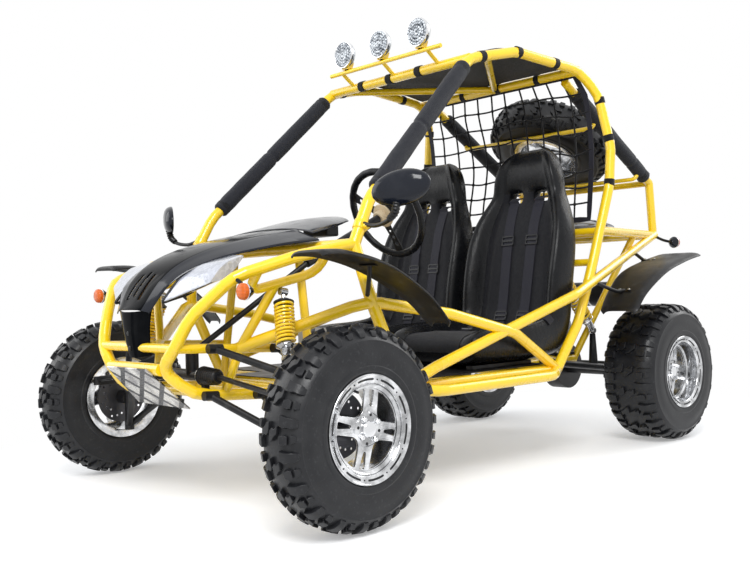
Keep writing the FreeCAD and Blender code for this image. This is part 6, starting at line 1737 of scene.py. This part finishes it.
class BUGGY_OT_nose(bpy.types.Operator):
    """The hood with its slits, and the apron below its tip"""
    bl_idname = "buggy.nose"
    bl_label = "Nose"

    def execute(self, context):
        rows = [hood_section(tuple(station)) for station in smooth_path(HOOD_STATIONS, 9)]
        count = len(rows[0])
        center = count // 2
        open_columns = {center - 2, center - 1, center, center + 1, center + 4, center - 5}
        shape = Shape()
        faces = []
        for row in range(len(rows) - 1):
            for column in range(count - 1):
                shift = 0 if abs(column + 0.5 - center) < 3 else -1
                if SLIT_ROWS[0] + shift <= row < SLIT_ROWS[1] + shift and column in open_columns:
                    continue
                faces.append((row * count + column, row * count + column + 1,
                              (row + 1) * count + column + 1, (row + 1) * count + column))
        shape.add([spot for row in rows for spot in row], faces)
        # the middle of the hood takes the darker, unreflecting black, a painted dark reflection; the sides
        # past the crease keep the glossy black
        shape.finish_numbers = [int(abs(face[0] % count + 0.5 - center) > 8) for face in faces]
        mesh = shape.mesh("hood", ["deep_black", "gloss_black"])
        hood = walled(put("hood", mesh, crease=24), 0.0036, 0.0007)
        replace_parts(hood, "nose_cover")
        apron = Shape()
        rings = []
        for step in range(19):
            share = step / 18
            half = 0.096 - 0.034 * share ** 0.8
            high = 0.5985 - 0.1365 * share
            front = -1.2235 + 0.0150 * share - 0.0045 * math.sin(share * math.pi)
            near, far = [], []
            for place in range(25):
                u = 2 * place / 24 - 1
                back = 0.020 * abs(u) ** 2.2 + 0.0045 * (abs(u) > 0.3) + 0.003 * (abs(u) > 0.62)
                spot = Vector((half * u, front + back, high + 0.006 * abs(u) ** 2))
                near.append(spot)
                far.append(spot + Vector((0, 0.0034, 0)))
            rings.append(near + list(reversed(far)))
        apron.rings(rings)
        for up, front in ((0.535, -1.2165), (0.49, -1.2125)):
            stud = wheel_matrix(Vector((0, front, up)), (0, -1, 0), (1, 0, 0))
            apron.turned([(0, 0), (0.0075, 0), (0.0075, 0.0035), (0.0045, 0.0062), (0, 0.0068)], stud, 20, 2)
        # the apron takes the same darker black with its painted dark reflection
        mesh = apron.mesh("apron", ["deep_black", "bright_steel", "black_plastic"])
        made = put("apron", mesh, crease=24)
        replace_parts(made, "nose_cover")
        inside = Shape()
        top, low = Vector((0, -1.118, 0.714)), Vector((0, -1.192, 0.616))
        for place in (-1, 0, 1):
            start = low + Vector((0.034 * place, 0, -0.012 * abs(place)))
            end = top + Vector((0.034 * place, 0, -0.012 * abs(place)))
            inside.strip([start.lerp(end, step / 6) for step in range(7)], (0, -0.74, 0.67), 0.016, 0.003, 0)
            inside.strip([start.lerp(end, step / 6) + Vector((0.011, -0.0035, 0.003)) for step in range(7)],
                         (0, -0.74, 0.67), 0.004, 0.009, 1)
        inside.box((-0.052, -0.003, -0.004), (0.052, 0.003, 0.004), Matrix.Translation(top), 2)
        lower = Matrix.Translation(low + Vector((0, 0, -0.008)))
        inside.box((-0.046, -0.003, -0.004), (0.046, 0.003, 0.004), lower, 2)
        for side in (1, -1):
            ends = [Vector((side * 0.05, -1.118, 0.7)), Vector((side * 0.085, -1.1, 0.716))]
            inside.tube(ends, 0.004, 8, 2)
        mesh = inside.mesh("hood_slats", ["bright_steel", "bronze", "black_plastic"])
        made = put("hood_slats", mesh, crease=30)
        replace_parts(made, "nose_cover")
        return {"FINISHED"}


# Rack boots

# Line of the steering rack
RACK_ALONG = -1.045
RACK_HIGH = 0.4


class BUGGY_OT_boots(bpy.types.Operator):
    """Bellows over both ends of the steering rack"""
    bl_idname = "buggy.boots"
    bl_label = "Rack boots"

    def execute(self, context):
        for side, word in ((1, "left"), (-1, "right")):
            start, end = (Vector((side * across, RACK_ALONG, RACK_HIGH)) for across in (0.118, 0.214))
            matrix = along_bar(start, end, 0)
            outline = [(0.0174, 0.0), (0.0222, 0.0), (0.0230, 0.001), (0.0230, 0.008), (0.0215, 0.010)]
            for fold in range(8):
                rise, wide = 0.010 + fold * 0.010, 0.0295 - fold * 0.0008
                outline += [(wide, rise + 0.0042), (wide, rise + 0.0058)]
                outline += [(0.0213 - fold * 0.0002, rise + 0.0100)]
            outline += [(0.0165, 0.0925), (0.0165, 0.096), (0.0113, 0.096)]
            outline += [(0.0113, 0.0925), (0.0174, 0.0915)]
            shape = Shape()
            shape.turned(outline, matrix, 40, 0, closed=True)
            shape.turned(sleeve(0.0231, 0.0243, 0.0025, 0.005), matrix, 40, 1, closed=True)
            mesh = shape.mesh("rack_boot", ["rubber_boot", "zinc"])
            mesh.set_sharp_from_angle(angle=math.radians(60))
            made = linked("rack_boot_" + word, mesh)
            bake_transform(made)
        return {"FINISHED"}


# Guards and dash

GUARDS = (
    ("front", ((-1.0, 0.758), (-0.9, 0.756), (-0.75, 0.72), (-0.6, 0.635), (-0.51, 0.548)),
     (0.5, 0.5, 0.5, 0.539, 0.562), (((0.562, -0.75, 0.717), (0.5, -0.705, 0.63)),)),
    ("rear", ((0.52, 0.548), (0.6, 0.62), (0.75, 0.698), (0.9, 0.742), (1.04, 0.77)),
     (0.5, 0.483, 0.45, 0.45, 0.45),
     (((0.562, 0.6, 0.617), (0.512, 0.4464, 0.661)), ((0.5, 0.9, 0.739), (0.428, 0.9055, 0.772)))),
)
GUARD_OUTER = 0.662
GUARD_STEPS = 16


def bolt(shape, spot, way, radius, high, number, roll=(1, 0, 0.01)):
    """A six-sided bolt head on its washer."""
    matrix = wheel_matrix(Vector(spot), way, roll)
    shape.turned(disc(radius * 1.5, 0, high * 0.2), matrix, 18, number)
    shape.turned([(0, high * 0.2), (radius, high * 0.2), (radius, high * 0.85), (radius * 0.85, high),
                  (0, high)], matrix, 6, number)


def sheet_rows(shape, rows, flip):
    """Skin an open sheet of point rows."""
    count = len(rows[0])
    starts = [row * count + place for row in range(len(rows) - 1) for place in range(count - 1)]
    faces = [(start, start + 1, start + count + 1, start + count) for start in starts]
    shape.add([spot for row in rows for spot in row], [face[::-1] for face in faces] if flip else faces)


class BUGGY_OT_guards(bpy.types.Operator):
    """Curved wheel guards with rolled edges, bolted to their stays"""
    bl_idname = "buggy.guards"
    bl_label = "Wheel guards"

    def execute(self, context):
        for end, line, inner, stays in GUARDS:
            path = smooth_path([(across, along, up) for across, (along, up) in zip(inner, line)], 12)
            length = sum((after - before).length for before, after in zip(path, path[1:]))
            for side, word in ((1, "left"), (-1, "right")):
                rows, far = [], 0.0
                for place, spot in enumerate(path):
                    far += (spot - path[max(place - 1, 0)]).length
                    near = min(far, max(length - far, 0.0), 0.016) / 0.016
                    tuck = 0.014 * (1 - math.sqrt(max(1 - (1 - near) ** 2, 0.0)))
                    low, high = spot.x + tuck, GUARD_OUTER - tuck
                    rows.append([Vector((
                        side * (low + (high - low) * step / GUARD_STEPS), spot.y,
                        spot.z - 0.013 * abs(2 * step / GUARD_STEPS - 1) ** 6 - 0.007 * (1 - near) ** 2,
                    )) for step in range(GUARD_STEPS + 1)])
                shape = Shape()
                sheet_rows(shape, rows, side < 0)
                made = put("%s_guard_%s" % (end, word), shape.mesh("guard", ["black_steel"]),
                           crease=60)
                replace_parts(walled(made, 0.0045), end + "_fenders")
                fittings = Shape()
                for head, foot in stays:
                    head, foot = Vector((side * head[0], *head[1:])), Vector((side * foot[0], *foot[1:]))
                    bend = head.lerp(foot, 0.3) - Vector((0, 0, 0.012))
                    fittings.tube(smooth_path([head, bend, foot], 6), 0.007, 14)
                    for shift in (-0.02, 0.02):
                        bolt(fittings, head + Vector((shift, 0, 0.0035)), (0, 0, 1), 0.0055, 0.005, 1)
                    fittings.box((-0.032, -0.014, -0.0035), (0.032, 0.014, -0.0005), Matrix.Translation(head))
                made = put("%s_guard_stay_%s" % (end, word), fittings.mesh("stay", ["black_steel", "zinc"]),
                           crease=40)
                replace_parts(made, end + "_fenders")
        return {"FINISHED"}


POD_STATIONS = ((-0.714, 0.262, 0.835, 0.856), (-0.64, 0.244, 0.851, 0.877), (-0.56, 0.214, 0.868, 0.896),
                (-0.48, 0.158, 0.884, 0.907), (-0.425, 0.112, 0.893, 0.911), (-0.40, 0.07, 0.898, 0.9105))


class BUGGY_OT_dash(bpy.types.Operator):
    """Rounded dash cover with two blank dials"""
    bl_idname = "buggy.dash"
    bl_label = "Dash"

    def execute(self, context):
        rows = []
        for along, half, edge, crown in (tuple(station) for station in smooth_path(POD_STATIONS, 7)):
            row = []
            for step in range(33):
                share = abs(2 * step / 32 - 1)
                row.append(Vector((half * (2 * step / 32 - 1), along,
                                   crown - (crown - edge) * share ** 2.4 - 0.004 * share ** 20)))
            rows.append(row)
        shape = Shape()
        sheet_rows(shape, rows, False)
        cover = put("dash_cover", shape.mesh("dash_cover", ["gloss_black"]), crease=60)
        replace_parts(walled(cover, 0.004), "instrument_pod")
        shape = Shape()
        shape.box((-0.066, -0.49, 0.838), (0.066, -0.432, 0.8965))
        for side in (1, -1):
            shape.box((side * 0.15 - 0.009, -0.711, 0.8035), (side * 0.15 + 0.009, -0.697, 0.8475))
        made = put("dash_housing", shape.mesh("dash_housing", ["black_plastic"]),
                   round_edge=0.006, steps=3)
        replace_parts(made, "instrument_pod")
        dials = Shape()
        for across in (-0.031, 0.031):
            face = wheel_matrix(Vector((across, -0.432, 0.867)), (0, 1, 0), (1, 0, 0))
            dials.turned([(0.021, 0), (0.0255, 0), (0.0255, 0.004), (0.023, 0.006), (0.021, 0.004)],
                         face, 40, 0, closed=True)
            dials.turned(disc(0.0212, 0.0015, 0.0005), face, 40, 1)
            dials.tube([face @ Vector((0, 0, 0.0028)), face @ Vector((0.010, 0.011, 0.0028))], 0.0007, 6, 2)
            dials.turned([(0, 0.0015), (0.003, 0.0015), (0.003, 0.0038), (0, 0.0044)], face, 14, 3)
        mesh = dials.mesh("dials", ["chrome", "cream_plastic", "red_lens", "black_plastic"])
        made = put("dash_dials", mesh, crease=40)
        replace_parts(made, "instrument_pod")
        return {"FINISHED"}


# Power

class BUGGY_OT_power(bpy.types.Operator):
    """Fuel tank, silencer with its pipe, and the finned engine"""
    bl_idname = "buggy.power"
    bl_label = "Engine, tank and exhaust"

    def execute(self, context):
        self.tank()
        self.exhaust()
        self.engine()
        return {"FINISHED"}

    def tank(self):
        half, front, back, middle = 0.235, 0.72, 1.085, 0.9014
        corners = [(-half, 0.8714), (half, 0.8714), (half, 0.9074), (0.175, 0.9314), (-0.175, 0.9314),
                   (-half, 0.9074)]
        outline = rounded(corners, 0.018, 5)
        rings = []
        for step in range(25):
            share = step / 24
            along = front + 0.365 * (0.5 - 0.5 * math.cos(share * math.pi))
            near = min(along - front, back - along, 0.03) / 0.03
            inset = 0.024 * (1 - math.sqrt(max(1 - (1 - near) ** 2, 0.0)))
            rings.append([Vector((
                spot.x * (1 - inset / half), along, middle + (spot.y - middle) * (1 - inset / 0.034)))
                for spot in outline])
        shape = Shape()
        shape.rings(rings[::-1])
        flange = rounded([(-0.236, 0.7215), (0.236, 0.7215), (0.236, 1.0835), (-0.236, 1.0835)], 0.035, 6)
        shape.tube([Vector((spot.x, spot.y, 0.891)) for spot in flange], 0.0032, 8, 0, closed=True)
        cap = Matrix.Translation((0.149, 0.78, 0.9304))
        shape.turned([(0, 0), (0.0285, 0), (0.0285, 0.003), (0.026, 0.0035), (0, 0.0035)], cap, 40, 1)
        for step in range(18):
            turn = cap @ Matrix.Rotation(math.tau * step / 18, 4, "Z")
            shape.box((0.0215, -0.0024, 0.003), (0.0255, 0.0024, 0.0132), turn, 1)
        shape.turned([(0, 0.003), (0.0232, 0.003), (0.0232, 0.0128), (0.021, 0.0146), (0, 0.015)], cap, 36, 1)
        band = [Vector((across, 0.99, up)) for across, up in (
            (-0.236, 0.874), (-0.2365, 0.907), (-0.176, 0.9322),
            (0.176, 0.9322), (0.2365, 0.907), (0.236, 0.874))]
        outs = [(-1, 0, 0), (-0.9, 0, 0.5), (-0.2, 0, 1), (0.2, 0, 1), (0.9, 0, 0.5), (1, 0, 0)]
        shape.strip(band, outs, 0.022, 0.0016, 2)
        mesh = shape.mesh("tank", ["gloss_black", "black_plastic", "black_steel"])
        made = put("tank", mesh, crease=45)
        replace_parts(made, "fuel_tank")

    def exhaust(self):
        shape = Shape()
        across = wheel_matrix(Vector((-0.19, 1.105, 0.6)), (1, 0, 0), (0, 0, 1))
        shape.turned([(0, 0), (0.03, 0.0005), (0.044, 0.004), (0.0525, 0.012), (0.0555, 0.024),
                      (0.0555, 0.356), (0.0525, 0.368), (0.044, 0.376), (0.03, 0.3795), (0, 0.38)],
                     across, 48, 0)
        for place in (0.024, 0.104, 0.276, 0.356):
            band = [(0.0553, place - 0.006), (0.0562, place - 0.005),
                    (0.0562, place + 0.005), (0.0553, place + 0.006)]
            shape.turned(band, across, 48, 0 if place in (0.024, 0.356) else 1, closed=True)
        port = -0.02
        pipe = smooth_path([(port, along, high) for along, high in (
            (0.735, 0.625), (0.84, 0.626), (0.94, 0.622), (1.055, 0.606))], 8)
        shape.tube(pipe, 0.014, 20, 2)
        collar = along_bar(pipe[-3], pipe[-1], 0)
        shape.turned(sleeve(0.0142, 0.0185, 0, 0.012), collar, 28, 1, closed=True)
        shape.box((-0.045, 0.7315, 0.612), (0.005, 0.7375, 0.638), Matrix(), 1)
        for shift in (-0.018, 0.018):
            bolt(shape, (port + shift, 0.7375, 0.625), (0, 1, 0), 0.0045, 0.006, 1)
        tail = wheel_matrix(Vector((0.134, 1.15, 0.6)), (0, 1, 0), (0, 0, 1))
        shape.turned([(0.0115, 0), (0.014, 0), (0.014, 0.033), (0.0155, 0.035), (0.0115, 0.035)],
                     tail, 28, 1, closed=True)
        for side in (1, -1):
            side_view = [(1.100, 0.655), (1.1545, 0.8395), (1.181, 0.8395), (1.128, 0.655)]
            shape.rings([[Vector((side * 0.078 + shift, along, up)) for along, up in side_view]
                         for shift in (0.003, -0.003)], 0)
            bolt(shape, (side * 0.078 + 0.003, 1.162, 0.818), (1, 0, 0), 0.006, 0.006, 1, (0, 0, 1))
        mesh = shape.mesh("silencer", ["black_steel", "zinc", "dark_disc"])
        made = put("silencer", mesh, crease=40)
        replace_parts(made, "exhaust")

    def engine(self):
        case = Shape()
        case.box((-0.15, 0.52, 0.3563), (0.15, 0.79, 0.452))
        case.box((-0.148, 0.524, 0.4535), (0.148, 0.786, 0.54))
        mesh = case.mesh("crankcase", ["engine_metal"])
        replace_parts(put("crankcase", mesh, round_edge=0.014, steps=4), "engine")
        shape = Shape()
        shape.box((-0.1455, 0.5265, 0.449), (0.1455, 0.7835, 0.457), Matrix(), 1)
        for along in (0.56, 0.642):
            shape.box((-0.268, along, 0.3563), (0.268, along + 0.04, 0.3663), Matrix(), 1)
            for side in (1, -1):
                bolt(shape, (side * 0.25, along + 0.02, 0.3663), (0, 0, 1), 0.0075, 0.008, 2)
        shape.box((-0.074, 0.601, 0.535), (0.034, 0.709, 0.68))
        for step in range(13):
            low = 0.548 + step * 0.0102
            shape.box((-0.096, 0.579, low), (0.056, 0.731, low + 0.0038))
        shape.box((-0.088, 0.587, 0.682), (0.048, 0.723, 0.71))
        for x in (-0.075, 0.035):
            for y in (0.6, 0.71):
                bolt(shape, (x, y, 0.70), (0, 0, 1), 0.006, 0.0095, 2)
        for out, deep, radius, number in ((1, 0.05, 0.082, 0), (-1, 0.03, 0.074, 1)):
            face = wheel_matrix(Vector((out * 0.15, 0.708, 0.448)), (out, 0, 0), (0, 0, 1))
            shape.turned([(0, 0), (radius, 0), (radius, deep * 0.55), (radius - 0.004, deep * 0.72),
                          (radius * 0.72, deep * 0.86), (radius * 0.66, deep), (0, deep)], face, 48, number)
            for step in range(8):
                turn = Matrix.Rotation(math.tau * step / 8, 4, "Z")
                spot = face @ turn @ Vector((radius - 0.01, 0, deep * 0.66))
                bolt(shape, spot, (out, 0, 0), 0.0045, 0.005, 2, (0, 0, 1))
        mesh = shape.mesh("engine_parts", ["engine_metal", "black_steel", "zinc"])
        made = put("engine_parts", mesh, crease=35, round_edge=0.0012)
        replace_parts(made, "engine")


# Stage

def shown_ray(f):
    """One for rays from the camera, straight, mirrored or through glass."""
    seen, glossy, passed = (f.node("LightPath", output="Is %s Ray" % kind)
                            for kind in ("Camera", "Glossy", "Transmission"))
    direct = f.node("Math", {"operation": "MAXIMUM"}, {0: seen, 1: glossy})
    return f.node("Math", {"operation": "MAXIMUM"}, {0: direct, 1: passed})


class BUGGY_OT_stage(bpy.types.Operator):
    """Pale floor, soft lamps and the camera"""
    bl_idname = "buggy.stage"
    bl_label = "Stage"

    def execute(self, context):
        scene = context.scene
        scene.view_settings.view_transform = "Standard"
        floor_mesh = bpy.data.meshes.new("floor")
        reach, low = 14.0, -0.001
        corners = [(-reach, -reach, low), (reach, -reach, low), (reach, reach, low), (-reach, reach, low)]
        floor_mesh.from_pydata(corners, [], [(0, 1, 2, 3)])
        floor = linked("floor", floor_mesh)
        f = Finish("floor_white")
        matt = f.node("BsdfDiffuse", {}, {"Color": (0.86, 0.86, 0.86, 1.0)})
        lift = f.node("Emission", {}, {"Color": (1, 1, 1, 1), "Strength": 0.3})
        near = f.node("AddShader", {}, {0: matt, 1: lift})
        white = f.node("Emission", {}, {"Color": (1, 1, 1, 1), "Strength": 1.0})
        far = f.node("VectorMath", {"operation": "LENGTH"}, {0: f.place((0.8, 0.55, 0.0))}, output=1)
        shown = f.node("MixShader", {}, {0: f.span(far, 0.75, 1.35), 1: near, 2: white})
        floor_mesh.materials.append(f.close(f.node("MixShader", {}, {0: shown_ray(f), 1: matt, 2: shown})))
        scene.world = bpy.data.worlds.new("studio")
        f = Finish("studio", scene.world)
        sky = f.node("Background", {}, {"Color": (0.93, 0.96, 1.0, 1.0), "Strength": 0.72})
        white = f.node("Background", {}, {"Color": (1, 1, 1, 1), "Strength": 1.0})
        f.close(f.node("MixShader", {}, {0: shown_ray(f), 1: sky, 2: white}))
        for name, spot, aim, power, wide in (
            ("key", (3.2, -3.4, 4.2), (0.1, -0.1, 0.7), 210.0, 2.2),
            ("fill", (-3.6, -3.0, 2.6), (0, -0.4, 0.6), 60.0, 3.2),
            ("rim", (1.5, 4.4, 3.4), (0, 0.3, 0.8), 70.0, 2.4),
        ):
            light = bpy.data.lights.new(name, "AREA")
            light.energy = power
            light.size = wide
            holder = linked(name, light)
            holder.location = spot
            holder.rotation_euler = (Vector(aim) - Vector(spot)).to_track_quat("-Z", "Y").to_euler()
        camera = bpy.data.cameras.new("camera")
        camera.sensor_width = 36.0
        camera.lens = 44.26
        holder = linked("camera", camera)
        look = Vector((-0.729, 0.685, 0.011)).normalized()
        right = Vector((0.684, 0.729, -0.027))
        right = (right - look * right.dot(look)).normalized()
        over = right.cross(look)
        turn = Matrix((right, over, -look)).transposed().to_4x4()
        turn.translation = (2.515, -2.566, 0.641)
        holder.matrix_world = turn
        scene.camera = holder
        return {"FINISHED"}


class BUGGY_OT_frame(bpy.types.Operator):
    """Finishes of every solid that the frame model brings"""
    bl_idname = "buggy.frame"
    bl_label = "Frame finishes"

    def execute(self, context):
        parts = {part["node"]: part["material_slot"] for part in frame["record"]["subparts"]}
        for name, solid in nodes.items():
            look = finish(parts[name])
            solid.data.materials.clear()
            solid.data.materials.append(look)
        return {"FINISHED"}


OPERATORS = [
    BUGGY_OT_stage, BUGGY_OT_frame, BUGGY_OT_tyres, BUGGY_OT_rims, BUGGY_OT_seats, BUGGY_OT_belts,
    BUGGY_OT_pads, BUGGY_OT_canopy, BUGGY_OT_net, BUGGY_OT_roof_lamps, BUGGY_OT_lamps, BUGGY_OT_mirrors,
    BUGGY_OT_steering_wheel, BUGGY_OT_springs, BUGGY_OT_nose, BUGGY_OT_boots,
    BUGGY_OT_guards, BUGGY_OT_dash, BUGGY_OT_power,
]


class BUGGY_PT_panel(bpy.types.Panel):
    """All steps of the buggy, in order"""
    bl_idname = "BUGGY_PT_panel"
    bl_label = "Dune Buggy"
    bl_space_type = "VIEW_3D"
    bl_region_type = "UI"
    bl_category = "Buggy"

    def draw(self, context):
        for step in OPERATORS:
            self.layout.operator(step.bl_idname)
        for group in GROUPS:
            box = self.layout.box()
            values = getattr(context.scene, group)
            for name in values.__annotations__:
                box.prop(values, name)


GROUPS = {
    "buggy_colors": BuggyColors,
    "buggy_wheels": BuggyWheels,
    "buggy_seats": BuggySeats,
    "buggy_soft": BuggySoft,
}


def register():
    for name, group in GROUPS.items():
        bpy.utils.register_class(group)
        setattr(bpy.types.Scene, name, PointerProperty(type=group))
    for step in [*OPERATORS, BUGGY_PT_panel]:
        bpy.utils.register_class(step)


def unregister():
    for step in reversed([*OPERATORS, BUGGY_PT_panel]):
        bpy.utils.unregister_class(step)
    for name, group in GROUPS.items():
        delattr(bpy.types.Scene, name)
        bpy.utils.unregister_class(group)


def main():
    register()
    for step in OPERATORS:
        category, name = step.bl_idname.split(".")
        getattr(getattr(bpy.ops, category), name)()


if __name__ == "__main__":
    main()
